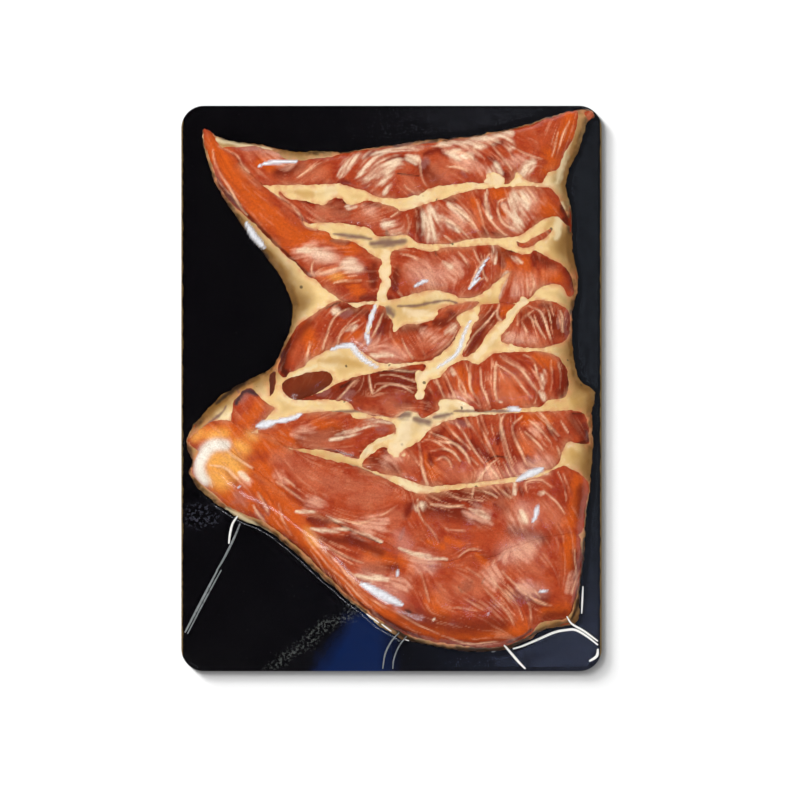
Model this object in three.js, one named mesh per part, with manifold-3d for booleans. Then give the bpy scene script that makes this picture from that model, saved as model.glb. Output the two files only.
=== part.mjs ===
// Sliced trout gravlax on a black card under a clear skin film.
//
// Eight thin slices are shingled down the card, each new one lying over the lower part of the one
// before it. Mustard sauce spreads under them, and a skin film covers the lot and is sealed to the
// card. Millimetres, +Z up, +Y along the card, origin under the middle of the card.

import * as THREE from 'three';
import { mergeVertices } from 'three/addons/utils/BufferGeometryUtils.js';
import Module from 'manifold-3d';

const wasm = await Module();
wasm.setup();

// ---------------------------------------------------------------- driving dimensions

const CARD_WIDTH = 168;
const CARD_LENGTH = 226;
const CARD_THICKNESS = 1.2;
const CARD_CORNER = 9;
const CARD_EDGE_BREAK = 0.15;

const SAUCE_THICKNESS = 0.7;
const SLICE_THICKNESS = 2.1;
const SCRAP_THICKNESS = 1.3;
const THIN_EDGE = 0.45;
const THIN_EDGE_REACH = 5;
const RIPPLE_HEIGHT = 0.2;
const RIPPLE_LENGTH = 34;

const FILM_THICKNESS = 0.35;
const FILM_INSET = 0.4;

const CLEARANCE = 0.3;
const EDGE_STEP = 5;

// The drape is worked out on a net of posts. A narrow outer row lets the film reach the card.
const NET_COLUMNS = 17;
const NET_ROWS = 23;
const NET_BORDER_X = 3;
const NET_BORDER_Y = 1.8;
const TALL = 40;

// ---------------------------------------------------------------- outlines, seen from above

const SAUCE_EDGE = [
  [-73, 101], [-40, 95.5], [10, 100], [50, 107], [76, 110.3], [78, 104], [69, 80], [72.5, 62],
  [73, 20], [80, 0], [78.6, -20], [80.2, -37], [77.5, -86], [71, -95], [52, -102.5], [32, -105.2],
  [2, -100], [-38, -68], [-60, -52.5], [-78, -39], [-80.5, -22], [-73, -6], [-50, 8.5], [-43, 20],
  [-41, 36], [-53, 56], [-68, 78], [-73, 92],
];

// Each slice: its edge, anticlockwise or clockwise, with the part that lies under the next slice.
const SLICE_EDGES = [
  [[-68.5, 96.5], [-54, 96.2], [-41, 91.6], [-22, 93.5], [15, 98.2], [51, 104.3], [71, 109.6],
    [74, 106], [69, 92.5], [63, 82], [62, 66], [48, 55], [10, 57], [-26, 62], [-50, 74]],
  [[-44, 78.5], [-36, 74.6], [-25, 74.6], [-9.5, 74.6], [2, 71.2], [22, 75.6], [38, 79.2],
    [60, 78.6], [70.8, 67], [67, 48], [52, 37], [10, 36], [-22, 42], [-44, 60]],
  [[-73.4, 102.4], [-65.5, 94.2], [-51.4, 81], [-39, 71], [-30, 63.4], [-13, 57], [-3, 52.5],
    [13, 56.6], [43, 56.6], [55, 52.4], [68.5, 49], [73, 39], [70, 22], [56, 9], [10, 10],
    [-22, 20], [-29, 40.5], [-45, 55.5], [-62, 75], [-72.4, 92]],
  [[-44, 4], [-42, 18], [-36, 26.6], [-24.5, 33.8], [-12.6, 30.6], [3, 32.8], [35, 33.4],
    [47, 34.2], [61.8, 35], [70, 32], [71.4, 21], [67, -2], [50, -12], [8, -12], [-22, -3]],
  [[-36, -4.8], [-28.6, -1.6], [-18.6, 3.4], [-4.6, 7.4], [11, 6.6], [28, 10.4], [46, 14.6],
    [60, 14.4], [68.8, 9.5], [70.8, -1], [67, -22], [48, -33], [6, -34], [-24, -22]],
  [[-54, -15.6], [-34, -9.8], [-20, -9.4], [-6, -14.4], [13, -17.8], [20, -13.4], [37, -9.6],
    [60, -8.4], [77, -9.8], [79, -20], [70, -22.4], [66, -31], [66, -48], [48, -60], [8, -60],
    [-32, -46]],
  [[-78, -20], [-72.5, -14.6], [-60, -15], [-40.6, -23.4], [-24.6, -26.6], [-7.8, -34.6],
    [9.4, -41.2], [30, -39.8], [50, -37.2], [67, -32], [78, -37.6], [77.4, -45], [73, -60],
    [56, -77], [10, -81], [-38, -58], [-68, -38]],
  [[-68.6, -19], [-61, -25.6], [-55.6, -31.6], [-36.6, -45.6], [-20.6, -52.8], [-4.6, -62.4],
    [22, -67.4], [33, -58.4], [61, -52.8], [75.6, -58], [75.6, -66], [70.4, -90], [59, -93.4],
    [51.6, -99.6], [33, -103.4], [10, -100.2], [-5, -94], [-38, -65.2], [-53, -53.2],
    [-68, -46], [-79, -35], [-77, -26]],
];

const FLAP_EDGE = [
  [-62.8, -5.7], [-57, -0.6], [-49, -6.6], [-48, -8.8], [-53.6, -14.4], [-57.5, -16.6], [-62.4, -13],
];
const LOOSE_SCRAP_EDGE = [
  [-43.2, 1.6], [-38.7, 5], [-26.4, 6.4], [-23, 3], [-29.9, -1.6], [-36.2, -4.4], [-42, -2.2],
];
const SLIVER_EDGE = [[50, 57.6], [57, 58.6], [62.6, 63.4], [62, 64.6], [55.6, 61.4], [50.2, 59.6]];
const SAUCE_SCRAP_EDGE = [[-49.6, 6.6], [-47, 6], [-46.6, 1], [-48.4, -2.4], [-50, -1.4], [-49.4, 2]];

// ---------------------------------------------------------------- the net of posts

function netLines(width, count, border) {
  const inner = width - 2 * border;
  const lines = [-width / 2];
  for (let i = 0; i <= count; i += 1) lines.push(-inner / 2 + (inner * i) / count);
  lines.push(width / 2);
  return lines;
}

const netX = netLines(CARD_WIDTH, NET_COLUMNS, NET_BORDER_X);
const netY = netLines(CARD_LENGTH, NET_ROWS, NET_BORDER_Y);
const post = (column, row) => row * netX.length + column;

// The height of what already lies on the card, at each post.
const pile = new Float64Array(netX.length * netY.length).fill(CARD_THICKNESS);

function spanOf(lines, value) {
  for (let i = 1; i < lines.length - 1; i += 1) {
    if (value < lines[i]) return i - 1;
  }
  return lines.length - 2;
}

function isInside(points, x, y) {
  let inside = false;
  points.forEach((a, i) => {
    const b = points[(i + 1) % points.length];
    const crosses = a.y > y !== b.y > y;
    if (crosses && x < ((b.x - a.x) * (y - a.y)) / (b.y - a.y) + a.x) inside = !inside;
  });
  return inside;
}

function distanceToEdge(points, x, y) {
  const here = new THREE.Vector3(x, y, 0);
  const nearest = new THREE.Vector3();
  const side = new THREE.Line3();
  let shortest = Infinity;
  points.forEach((a, i) => {
    const b = points[(i + 1) % points.length];
    side.start.set(a.x, a.y, 0);
    side.end.set(b.x, b.y, 0);
    side.closestPointToPoint(here, true, nearest);
    shortest = Math.min(shortest, nearest.distanceTo(here));
  });
  return shortest;
}

// Posts at the corners of every net cell that a shape reaches into.
function postsUnder(points) {
  const found = new Set();
  const addCell = (column, row) => {
    [[0, 0], [1, 0], [0, 1], [1, 1]].forEach(([dc, dr]) => found.add(post(column + dc, row + dr)));
  };
  points.forEach((a, i) => {
    const b = points[(i + 1) % points.length];
    for (let t = 0; t < 1; t += 0.05) {
      addCell(spanOf(netX, a.x + (b.x - a.x) * t), spanOf(netY, a.y + (b.y - a.y) * t));
    }
  });
  for (let row = 0; row < netY.length - 1; row += 1) {
    for (let column = 0; column < netX.length - 1; column += 1) {
      const midX = (netX[column] + netX[column + 1]) / 2;
      const midY = (netY[row] + netY[row + 1]) / 2;
      if (isInside(points, midX, midY)) addCell(column, row);
    }
  }
  return found;
}

// ---------------------------------------------------------------- solids

function smoothEdge(pairs) {
  const knots = pairs.map(([x, y]) => new THREE.Vector3(x, y, 0));
  const curve = new THREE.CatmullRomCurve3(knots, true, 'centripetal');
  const count = Math.round(curve.getLength() / EDGE_STEP);
  const points = curve.getSpacedPoints(Math.max(count, 12));
  points.pop();
  return points.map((p) => new THREE.Vector2(p.x, p.y));
}

function plate(points, bottom, height) {
  const options = { depth: height, bevelEnabled: false, steps: 1 };
  return new THREE.ExtrudeGeometry(new THREE.Shape(points), options).translate(0, 0, bottom);
}

function toManifold(geometry) {
  const bare = geometry.clone();
  bare.deleteAttribute('normal');
  bare.deleteAttribute('uv');
  const merged = mergeVertices(bare, 1e-4);
  const vertProperties = new Float32Array(merged.attributes.position.array);
  const triVerts = new Uint32Array(merged.index.array);
  return new wasm.Manifold(new wasm.Mesh({ numProp: 3, vertProperties, triVerts }));
}

function fromManifold(solid) {
  const mesh = solid.getMesh();
  const geometry = new THREE.BufferGeometry();
  geometry.setAttribute('position', new THREE.BufferAttribute(mesh.vertProperties, 3));
  geometry.setIndex(new THREE.BufferAttribute(mesh.triVerts, 1));
  geometry.computeVertexNormals();
  return geometry;
}

// A closed blanket over the whole net, between two heights given at each post.
function blanket(lower, upper) {
  const corners = [];
  [lower, upper].forEach((heights) => {
    netY.forEach((y, row) => netX.forEach((x, column) => corners.push(x, y, heights[post(column, row)])));
  });
  const top = netX.length * netY.length;
  const faces = [];
  for (let row = 0; row < netY.length - 1; row += 1) {
    for (let column = 0; column < netX.length - 1; column += 1) {
      const [a, b] = [post(column, row), post(column + 1, row)];
      const [c, d] = [post(column + 1, row + 1), post(column, row + 1)];
      faces.push(top + a, top + b, top + c, top + a, top + c, top + d);
      faces.push(a, c, b, a, d, c);
    }
  }
  const wall = (from, to) => faces.push(from, to, top + to, from, top + to, top + from);
  const [lastColumn, lastRow] = [netX.length - 1, netY.length - 1];
  for (let i = 0; i < lastColumn; i += 1) {
    wall(post(i, 0), post(i + 1, 0));
    wall(post(i + 1, lastRow), post(i, lastRow));
  }
  for (let i = 0; i < lastRow; i += 1) {
    wall(post(lastColumn, i), post(lastColumn, i + 1));
    wall(post(0, i + 1), post(0, i));
  }
  const geometry = new THREE.BufferGeometry();
  geometry.setAttribute('position', new THREE.Float32BufferAttribute(corners, 3));
  geometry.setIndex(faces);
  return geometry;
}

// A slice is cut on the slant: full in the middle, thin at its edge, with a slow ripple across it.
function sliceThickness(points, full, phase) {
  return pile.map((_, i) => {
    const x = netX[i % netX.length];
    const y = netY[Math.floor(i / netX.length)];
    const side = isInside(points, x, y) ? 1 : -1;
    const depth = side * distanceToEdge(points, x, y);
    const share = THREE.MathUtils.smoothstep(depth, -THIN_EDGE_REACH, THIN_EDGE_REACH);
    const ripple = RIPPLE_HEIGHT * Math.sin((2 * Math.PI * x) / RIPPLE_LENGTH + phase);
    return THREE.MathUtils.lerp(THIN_EDGE, full + ripple, share);
  });
}

// Lay a limp layer on the pile: it drapes over what is there and becomes part of the pile.
function lay(points, thickness) {
  const lower = pile.map((height) => height + CLEARANCE);
  const upper = lower.map((height, i) => height + thickness[i]);
  const cutter = toManifold(plate(points, -1, TALL));
  const layer = toManifold(blanket(lower, upper)).intersect(cutter);
  postsUnder(points).forEach((i) => {
    pile[i] = upper[i];
  });
  return fromManifold(layer);
}

// ---------------------------------------------------------------- colours

const black = new THREE.MeshStandardMaterial({ color: 0x101114, roughness: 0.25, metalness: 0 });
const cream = new THREE.MeshStandardMaterial({ color: 0xe9d7a2, roughness: 0.35, metalness: 0 });
const flesh = new THREE.MeshStandardMaterial({ color: 0xc24f28, roughness: 0.35, metalness: 0 });
const darkFlesh = new THREE.MeshStandardMaterial({ color: 0x6b2c1a, roughness: 0.4, metalness: 0 });
const clear = new THREE.MeshStandardMaterial({
  color: 0xf4f6f8, roughness: 0.1, metalness: 0, transparent: true, opacity: 0.3,
});

// ---------------------------------------------------------------- the pack

const pack = new THREE.Group();

function add(name, geometry, material) {
  const mesh = new THREE.Mesh(geometry, material);
  mesh.name = name;
  pack.add(mesh);
}

function roundedRectangle(width, length, radius) {
  const [x, y] = [width / 2 - radius, length / 2 - radius];
  const shape = new THREE.Shape();
  shape.absarc(x, y, radius, 0, Math.PI / 2);
  shape.absarc(-x, y, radius, Math.PI / 2, Math.PI);
  shape.absarc(-x, -y, radius, Math.PI, 1.5 * Math.PI);
  shape.absarc(x, -y, radius, 1.5 * Math.PI, 2 * Math.PI);
  return shape.getPoints(8);
}

function card() {
  const trim = 2 * CARD_EDGE_BREAK;
  const outline = roundedRectangle(CARD_WIDTH - trim, CARD_LENGTH - trim, CARD_CORNER - CARD_EDGE_BREAK);
  const options = {
    depth: CARD_THICKNESS - trim,
    bevelSize: CARD_EDGE_BREAK,
    bevelThickness: CARD_EDGE_BREAK,
    bevelSegments: 1,
    steps: 1,
  };
  return new THREE.ExtrudeGeometry(new THREE.Shape(outline), options).translate(0, 0, CARD_EDGE_BREAK);
}

function sauceBed() {
  const points = smoothEdge(SAUCE_EDGE);
  const bottom = CARD_THICKNESS + CLEARANCE;
  postsUnder(points).forEach((i) => {
    pile[i] = bottom + SAUCE_THICKNESS;
  });
  return plate(points, bottom, SAUCE_THICKNESS);
}

add('card', card(), black);
add('sauce', sauceBed(), cream);

function fish(name, edge, full, phase, material) {
  const points = smoothEdge(edge);
  add(name, lay(points, sliceThickness(points, full, phase)), material);
}

// The order is the order of laying: scraps lie among the slices that they show between.
SLICE_EDGES.forEach((edge, i) => {
  if (i === 2) fish('sliver', SLIVER_EDGE, SCRAP_THICKNESS, 0, flesh);
  if (i === 4) fish('loose_scrap', LOOSE_SCRAP_EDGE, SCRAP_THICKNESS, 0, darkFlesh);
  if (i === 4) fish('sauce_scrap', SAUCE_SCRAP_EDGE, SCRAP_THICKNESS, 0, darkFlesh);
  if (i === 6) fish('flap', FLAP_EDGE, SLICE_THICKNESS, 0, flesh);
  fish(`slice_${i + 1}`, edge, SLICE_THICKNESS, i, flesh);
});

const filmEdge = roundedRectangle(
  CARD_WIDTH - 2 * FILM_INSET,
  CARD_LENGTH - 2 * FILM_INSET,
  CARD_CORNER - FILM_INSET,
);
add('film', lay(filmEdge, pile.map(() => FILM_THICKNESS)), clear);

export default pack;
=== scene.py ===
# %% [markdown]
# # Sliced trout gravlax in a skin pack
# A black card carries eight shingled slices of cured trout with mustard sauce between them, and a
# clear film is sucked down over the lot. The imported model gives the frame: the card stays as it is,
# and every soft piece is modelled again here with its real surface. Lengths below are written in
# millimetres on the card, +X to the right and +Y along the card, and are turned into metres where a
# mesh is made.

# %% Load the frame
import math

import bpy
import numpy as np
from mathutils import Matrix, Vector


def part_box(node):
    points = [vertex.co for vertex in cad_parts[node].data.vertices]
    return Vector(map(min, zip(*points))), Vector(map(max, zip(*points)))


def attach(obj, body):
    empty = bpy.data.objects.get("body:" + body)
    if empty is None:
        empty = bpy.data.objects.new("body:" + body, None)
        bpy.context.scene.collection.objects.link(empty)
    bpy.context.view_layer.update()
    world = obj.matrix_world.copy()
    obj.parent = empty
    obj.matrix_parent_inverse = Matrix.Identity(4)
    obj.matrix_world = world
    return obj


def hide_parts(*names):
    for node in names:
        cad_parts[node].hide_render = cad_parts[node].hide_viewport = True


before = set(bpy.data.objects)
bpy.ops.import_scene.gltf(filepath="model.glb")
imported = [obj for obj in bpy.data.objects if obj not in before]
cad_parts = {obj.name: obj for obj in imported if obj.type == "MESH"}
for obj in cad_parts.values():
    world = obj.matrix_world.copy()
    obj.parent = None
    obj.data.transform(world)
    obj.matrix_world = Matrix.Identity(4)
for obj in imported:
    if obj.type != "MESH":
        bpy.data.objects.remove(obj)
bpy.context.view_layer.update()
MM = 0.001
card_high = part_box("card")[1]
film_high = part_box("film")[1]
CARD_TOP = card_high.z / MM
HALF_WIDTH = card_high.x / MM
HALF_LENGTH = card_high.y / MM
print("card top", round(CARD_TOP, 2), "film top", round(film_high.z / MM, 2))

# %% [markdown]
# ## A height map to model on
# Film, sauce and fish cling to each other, so their surfaces have to agree to a tenth of a
# millimetre. They could be sculpted one by one, but then every change to one would tear the others.
# So all the heights are worked out on one fine net first, and each grid mesh gets its share of it
# afterwards. These helpers draw smooth lines on the net, measure the distance to them, and blur.

# %% The net and its helpers
STEP = 0.45
xs = np.arange(-HALF_WIDTH, HALF_WIDTH + STEP / 2, STEP)
ys = np.arange(-HALF_LENGTH, HALF_LENGTH + STEP / 2, STEP)
X, Y = np.meshgrid(xs, ys)
print("net", X.shape)


def smooth_line(points, closed, spacing=1.0):
    """A Catmull-Rom line through the points, as an array of close points."""
    p = np.array(points, float)
    if closed:
        p = np.vstack([p[-1], p, p[0], p[1]])
    else:
        p = np.vstack([2 * p[0] - p[1], p, 2 * p[-1] - p[-2]])
    out = []
    for a, b, c, d in zip(p[:-3], p[1:-2], p[2:-1], p[3:]):
        count = max(1, int(np.hypot(*(c - b)) / spacing))
        t = (np.arange(count) / count)[:, None]
        out.append(0.5 * (2 * b + (c - a) * t + (2 * a - 5 * b + 4 * c - d) * t**2
                          + (3 * b - a - 3 * c + d) * t**3))
    if not closed:
        out.append(p[-2][None])
    return np.vstack(out)


def distance_to(line, closed, reach):
    """The distance of every net point to a line, as far as reach."""
    far = np.full(X.shape, float(reach))
    ends = np.roll(line, -1, axis=0) if closed else line[1:]
    for a, b in zip(line, ends):
        lo, hi = np.minimum(a, b) - reach, np.maximum(a, b) + reach
        c0, c1 = np.searchsorted(xs, [lo[0], hi[0]])
        r0, r1 = np.searchsorted(ys, [lo[1], hi[1]])
        if c0 >= c1 or r0 >= r1:
            continue
        x, y = X[r0:r1, c0:c1] - a[0], Y[r0:r1, c0:c1] - a[1]
        along = b - a
        t = np.clip((x * along[0] + y * along[1]) / max(along @ along, 1e-9), 0, 1)
        near = np.hypot(x - t * along[0], y - t * along[1])
        far[r0:r1, c0:c1] = np.minimum(far[r0:r1, c0:c1], near)
    return far


def is_inside(line):
    """True for the net points inside a closed line."""
    inside = np.zeros(X.shape, bool)
    for (ax, ay), (bx, by) in zip(line, np.roll(line, -1, axis=0)):
        if ay == by:
            continue
        rows = (ys > ay) != (ys > by)
        cross = (bx - ax) * (ys - ay) / (by - ay) + ax
        inside ^= rows[:, None] & (xs[None, :] < cross[:, None])
    return inside


def depth_in(loops, reach=16.0):
    """How deep inside the nearest of some closed loops a net point lies; negative outside."""
    depth = np.full(X.shape, -reach)
    for loop in loops:
        line = smooth_line(loop, True)
        signed = distance_to(line, True, reach) * np.where(is_inside(line), 1, -1)
        depth = np.maximum(depth, signed)
    return depth


def blur(field, sigma):
    """Gaussian blur of a net field; sigma in millimetres."""
    radius = int(math.ceil(3 * sigma / STEP))
    kernel = np.exp(-0.5 * (np.arange(-radius, radius + 1) * STEP / sigma) ** 2)
    kernel /= kernel.sum()
    for axis in (0, 1):
        pad = [(radius, radius) if i == axis else (0, 0) for i in (0, 1)]
        field = np.pad(field, pad, mode="edge")
        field = np.apply_along_axis(lambda v: np.convolve(v, kernel, mode="valid"), axis, field)
    return field


def noise(size, seed):
    """Smooth seeded noise, about -2 to 2, with lumps of roughly this size."""
    field = blur(np.random.default_rng(seed).standard_normal(X.shape), size / 2.5)
    return field / field.std()


# %% [markdown]
# ## Where the fish shows
# Each slice shows as one or more islands between bands of sauce. The islands are drawn as closed
# smooth loops, to the nearest half millimetre, with only the points that their wavy edges need. What
# is laid later lies on top. Raw edges are never smooth, so a little noise frays them.

# %% The visible edges, upper slices
EDGES = {
    "slice_1": [[
        (-68, 96), (-61, 96.5), (-54, 96.5), (-46, 94.5), (-42, 91.5), (-35, 91), (-26, 92.5),
        (-12, 95), (6, 97), (24, 99), (42, 102), (60, 107), (72, 111), (74.5, 109), (72.5, 100),
        (69, 94), (66.5, 88), (62, 85.5), (60, 82), (53.5, 83), (50, 86), (47, 81.5), (37, 81.5),
        (29, 81.5), (16, 79.8), (11, 77), (2, 75.7), (-5, 76), (-12, 79),
        (-22, 81.5), (-33, 81), (-42, 81), (-53, 81), (-60, 88.5), (-65, 93.5),
    ]],
    "slice_2": [[
        (-45, 78.5), (-40, 75.5), (-33, 74.5), (-27, 73), (-24, 75.5), (-20, 76), (-16, 73),
        (-9, 75), (1, 72), (5, 70.5), (12, 73), (22, 76), (30, 78.5), (40, 80), (54, 80.5),
        (64, 79), (69, 71.5), (71, 65), (66, 68.5), (60, 67), (52, 61.5), (44, 60), (34, 59.5),
        (22, 57.5), (12, 57.5), (5, 61), (-5, 60.5), (-11, 64.5), (-27, 66), (-35, 66), (-43, 74),
    ]],
    "sliver": [[
        (49.5, 58.5), (52, 56), (57, 57.5), (62.5, 61), (63.5, 63.5), (57.5, 60.5), (53, 58),
    ]],
    "slice_3": [[
        (-75, 104), (-71, 101), (-68.5, 97), (-62, 92.5), (-59, 88), (-51, 81), (-42, 74.5),
        (-36, 69.5), (-33.5, 64.5), (-26, 62.5), (-22.5, 59.5), (-15, 58.5), (-9, 54.5), (-4, 51.5),
        (0, 54.5), (8, 56.5), (14, 54.5), (22, 56), (40, 57), (48, 54.5), (55, 53.5), (57, 55),
        (66, 50.5), (71, 46), (73, 39), (71, 36.5), (67.5, 41), (60, 40.5), (54.5, 35.5), (48, 33.5),
        (43, 34), (43.5, 39), (47, 46), (41, 42), (35, 37), (28, 36), (19, 39), (10, 38),
        (0, 35), (-10, 34.5), (-20, 35), (-30, 43), (-34.5, 46), (-44.5, 55.5), (-54.5, 65.5),
        (-61, 71), (-66, 76.5), (-69.5, 82), (-71.5, 89), (-74, 97),
    ]],
    "slice_4": [
        [
            (-43.5, 4.5), (-45.5, 8), (-42.5, 17), (-37, 25.5), (-30, 30), (-22, 35), (-13.5, 32),
            (-10, 33.5), (-3, 33), (-2, 29.5), (0.5, 26.5), (1, 22.5), (6, 25.5), (16, 27),
            (20, 32), (34, 35), (33, 32.5), (26, 28.5), (27.5, 24.5), (24, 18), (17, 12),
            (10, 10.5), (-4, 10), (-11, 14), (-17, 17.5), (-23, 16.5), (-32, 11.5), (-35, 8.5),
            (-40.5, 6.5), (-41.5, 4.5),
        ],
        [
            (36.5, 33.5), (50, 33.5), (46, 28), (41, 25), (32, 13.5), (28, 13.5), (31, 23),
            (35, 30),
        ],
        [
            (53.5, 34), (62, 35), (69.5, 32), (71.5, 27), (70.5, 20.5), (67, 18), (58, 16),
            (47, 17.5), (43.5, 20), (48, 26.5),
        ],
    ],
    "loose_scrap": [[
        (-43.5, 2), (-40, 4.5), (-27.5, 7), (-23.5, 4.5), (-25, 1), (-36, -4.5), (-42.5, -2),
    ]],
    "sauce_scrap": [[(-49, 5.5), (-46, 7), (-46.5, 0), (-48.5, -3), (-48.5, 1.5)]],
}
print(len(EDGES), "pieces drawn")

# %% [markdown]
# The lower slices are drawn in the same way. The last of them lies on top of the others and shows
# whole, and a small bit of fish is stuck in the upper right corner of the sauce.

# %% The visible edges, lower slices
EDGES.update({
    "slice_5": [
        [
            (-36, -4.5), (-27, -1), (-18, 3.5), (-8, 6), (2, 8), (13.5, 9.5), (10.5, 3),
            (10.5, -1), (12, -4), (10.5, -9), (6, -9), (1, -11.5), (-13, -9.5), (-17, -6),
            (-24, -4.5),
        ],
        [
            (14.5, 2.5), (19, 4.5), (23, 9), (29, 11.5), (35, 9.5), (40, 13.5), (50, 14.5),
            (62, 14.5), (69, 10), (70.5, 2), (69, -3.5), (62, -5), (59, -7.5), (48, -7.5),
            (34, -9), (25, -4.5), (19.5, -5), (19.5, -8.5), (12, -11.5), (11, -7),
        ],
    ],
    "slice_6": [
        [
            (-53, -16), (-42, -12.5), (-33, -9.5), (-18, -9.5), (-14, -12), (-4, -12), (1.5, -15),
            (0.5, -19.5), (-8, -22), (-13, -28), (-28, -24), (-40, -24), (-50, -21),
        ],
        [
            (-11, -29), (-4, -23.5), (1, -25), (5, -24), (10, -21.5), (16, -16), (25, -12),
            (38, -10.5), (52, -9.5), (64, -9), (76.5, -10), (79, -20), (77.5, -22.5), (70, -21.5),
            (66.5, -29.5), (61, -33), (50, -35.3), (32, -37.8), (16, -39), (10, -38), (4, -35.5),
            (-10, -32),
        ],
    ],
    "flap": [[
        (-63.5, -7), (-61, -2.5), (-56.5, 0), (-50.5, -5), (-46.5, -8), (-49.5, -11.5), (-53, -16),
        (-58, -19), (-63, -16),
    ]],
    "slice_7": [[
        (-81, -21), (-77, -16.5), (-69, -12.5), (-62, -14), (-55, -17.5), (-49, -18), (-41, -23.5),
        (-28, -27.5), (-13, -31.5), (-2, -36), (10, -41.5), (22, -40.6), (32, -39.2), (44, -37.8),
        (56, -35.8),
        (66, -32), (70, -31), (78.5, -37.5), (77.5, -46), (75, -58), (60, -64), (44, -67),
        (22, -72), (6, -68.5), (-18, -59), (-38, -46), (-60, -34), (-76, -26),
    ]],
    "slice_8": [[
        (-79, -30), (-77, -25), (-73, -22.5), (-69, -19.5), (-64.5, -23.5), (-57, -29.5), (-50, -35),
        (-35, -46), (-20, -53.5), (-5, -60), (6, -65), (23, -68.5), (32, -64.5), (39, -67),
        (48, -63), (60, -59.5), (70, -57.5), (75, -59), (76, -68), (74, -82), (70, -91.5),
        (60, -93), (55, -98.5), (46, -102.5), (36, -103.5), (20, -101.5), (6, -98), (-8, -90),
        (-24, -76.5), (-40, -61), (-52, -53), (-64, -48), (-71, -42), (-79.5, -34.5),
    ]],
    "corner_bit": [[(76.5, 110), (79, 111), (80.5, 109), (79, 107)]],
})
print(len(EDGES), "pieces drawn")

# %% [markdown]
# The sauce spreads a few millimetres beyond the fish all round. From all these loops comes the one
# number that the rest is built on: how deep inside its outline each place of the net lies.

# %% The edge of the sauce, and all the depths
SAUCE_EDGE = [
    (-75, 104), (-69, 100.5), (-60, 98.5), (-48, 96.5), (-39, 94.5), (-30, 95), (-20, 94.5),
    (-4, 96.5), (10, 99), (30, 100.5), (50, 104.5), (68, 110), (79, 111.5), (81.5, 108.5),
    (78.5, 106.5), (75.5, 97), (71, 87), (70, 79.5), (72, 70), (72.5, 56), (74.5, 42),
    (72.5, 31), (72.5, 16), (75, 4), (81, -1.5), (80, -10), (80.5, -22), (79.5, -38),
    (77.5, -52), (77, -66), (75, -82), (74.5, -93), (62, -96), (55, -100.5), (44, -104.5),
    (30, -105), (12, -102), (2, -99), (-10, -90.5), (-26, -77), (-42, -62.5), (-52, -55.5),
    (-62, -51.5), (-76, -41), (-81, -34), (-80, -29), (-82, -21), (-78, -13), (-66, -1.5),
    (-54, 5), (-47.5, 9), (-43, 18), (-40, 27), (-40, 35), (-45.5, 46.5), (-56, 60), (-66.5, 75),
    (-71, 83), (-73, 90), (-75.5, 98),
]
fray = 0.12 * noise(1.4, 21) + 0.12 * noise(3.5, 22)
depths = {name: depth_in(loops) + fray for name, loops in EDGES.items()}
in_sauce = depth_in([SAUCE_EDGE]) + fray
any_fish = np.max(list(depths.values()), axis=0)
print(len(depths), "fish pieces drawn")

# %% [markdown]
# ## Dabs of sauce on top
# Sauce doesn't only lie between the slices: it is also wiped over them in dabs, and squeezed into
# the creases. The film flattens a dab into the slice, so it isn't a blob of its own: it raises the
# sauce on the net and presses the fish down. Each is its width and the line that it was wiped along.

# %% Dabs of sauce
DABS = [
    (5, (39.5, 82.8), (43, 82.8)), (3, (49, 81.5), (50.5, 83)), (4.2, (-2.5, 54), (-2.5, 45), (-3.5, 36)),
    (2, (-5.5, 34), (-8, 28), (-9.5, 22.5)), (4, (6, 30.5), (12, 30), (17, 30.5)),
    (3.6, (32.5, 28.5), (29, 21), (26.5, 15), (20, 9), (13, 5)),
    (3, (53, 35), (48, 29.5), (43, 23), (38, 17), (34, 13)), (3.4, (11, 5.5), (12, 1), (11.5, -3)),
    (3.4, (20, -6), (25, -6), (31, -8.5)), (7, (7, -14), (4.5, -19), (2, -24)),
    (2.4, (1, -19.5), (-6, -21.5), (-11.5, -27)),
]


def dab_profile():
    """1 along the middle of a dab, 0 at its edge and -1.5 outside."""
    profile = np.full(X.shape, -1.5)
    for width, *points in DABS:
        gap = distance_to(smooth_line(points, False), False, 2 * width)
        profile = np.maximum(profile, 1 - (gap / (width / 2)) ** 2)
    wobble = 0.3 * noise(2.5, 5) + 0.2 * noise(1.3, 6)
    return np.where(profile > -1.4, profile + wobble, profile)


dabs = dab_profile()
print("dabbed share", round(float((dabs > 0).mean()), 3))

# %% [markdown]
# ## The pile
# The slices overlap two and three deep in the middle and thin out to the edge, so the pile is a low
# mound. The sauce level follows that mound, and each slice swells out of it with a round shoulder.
# Where a slice lies straight on the one below it, it starts from that slice's top instead. Nothing
# near the outer edge may stand taller than the slope that the tight film leaves for it.

# %% Heights of sauce and fish
THIN = 0.2
RIM_RISE = 1.3
MOUND_RISE = 4.9
MOUND_SPREAD = 8.5
SAUCE_WAVES = 0.16
FILM_SLOPE = 2.2
CARVE = 0.35


def ramp(value, low, high):
    """0 below low, 1 above high, smooth between."""
    t = np.clip((value - low) / (high - low), 0, 1)
    return t * t * (3 - 2 * t)


heap = blur((any_fish > -2.5).astype(float), MOUND_SPREAD)
level = CARD_TOP + THIN + RIM_RISE * ramp(in_sauce, -0.2, 4.5) + MOUND_RISE * ramp(heap, 0.38, 1.0)
level = level + SAUCE_WAVES * noise(14, 1) * ramp(in_sauce, 0, 8)
slope_limit = CARD_TOP + 0.3 + FILM_SLOPE * np.maximum(in_sauce, 0)

USUAL_SWELL = (1.15, 2.4)
SWELL = {"slice_3": (1.1, 2.2), "slice_8": (1.5, 3.8), "slice_7": (1.3, 3.0), "flap": (1.4, 3.2)}
DIVE = 1.1
DIVE_WIDTH = 0.7
OVERLAP_STEP = 0.5
lumps = 0.10 * noise(9, 2) + 0.05 * noise(4, 3)


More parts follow.
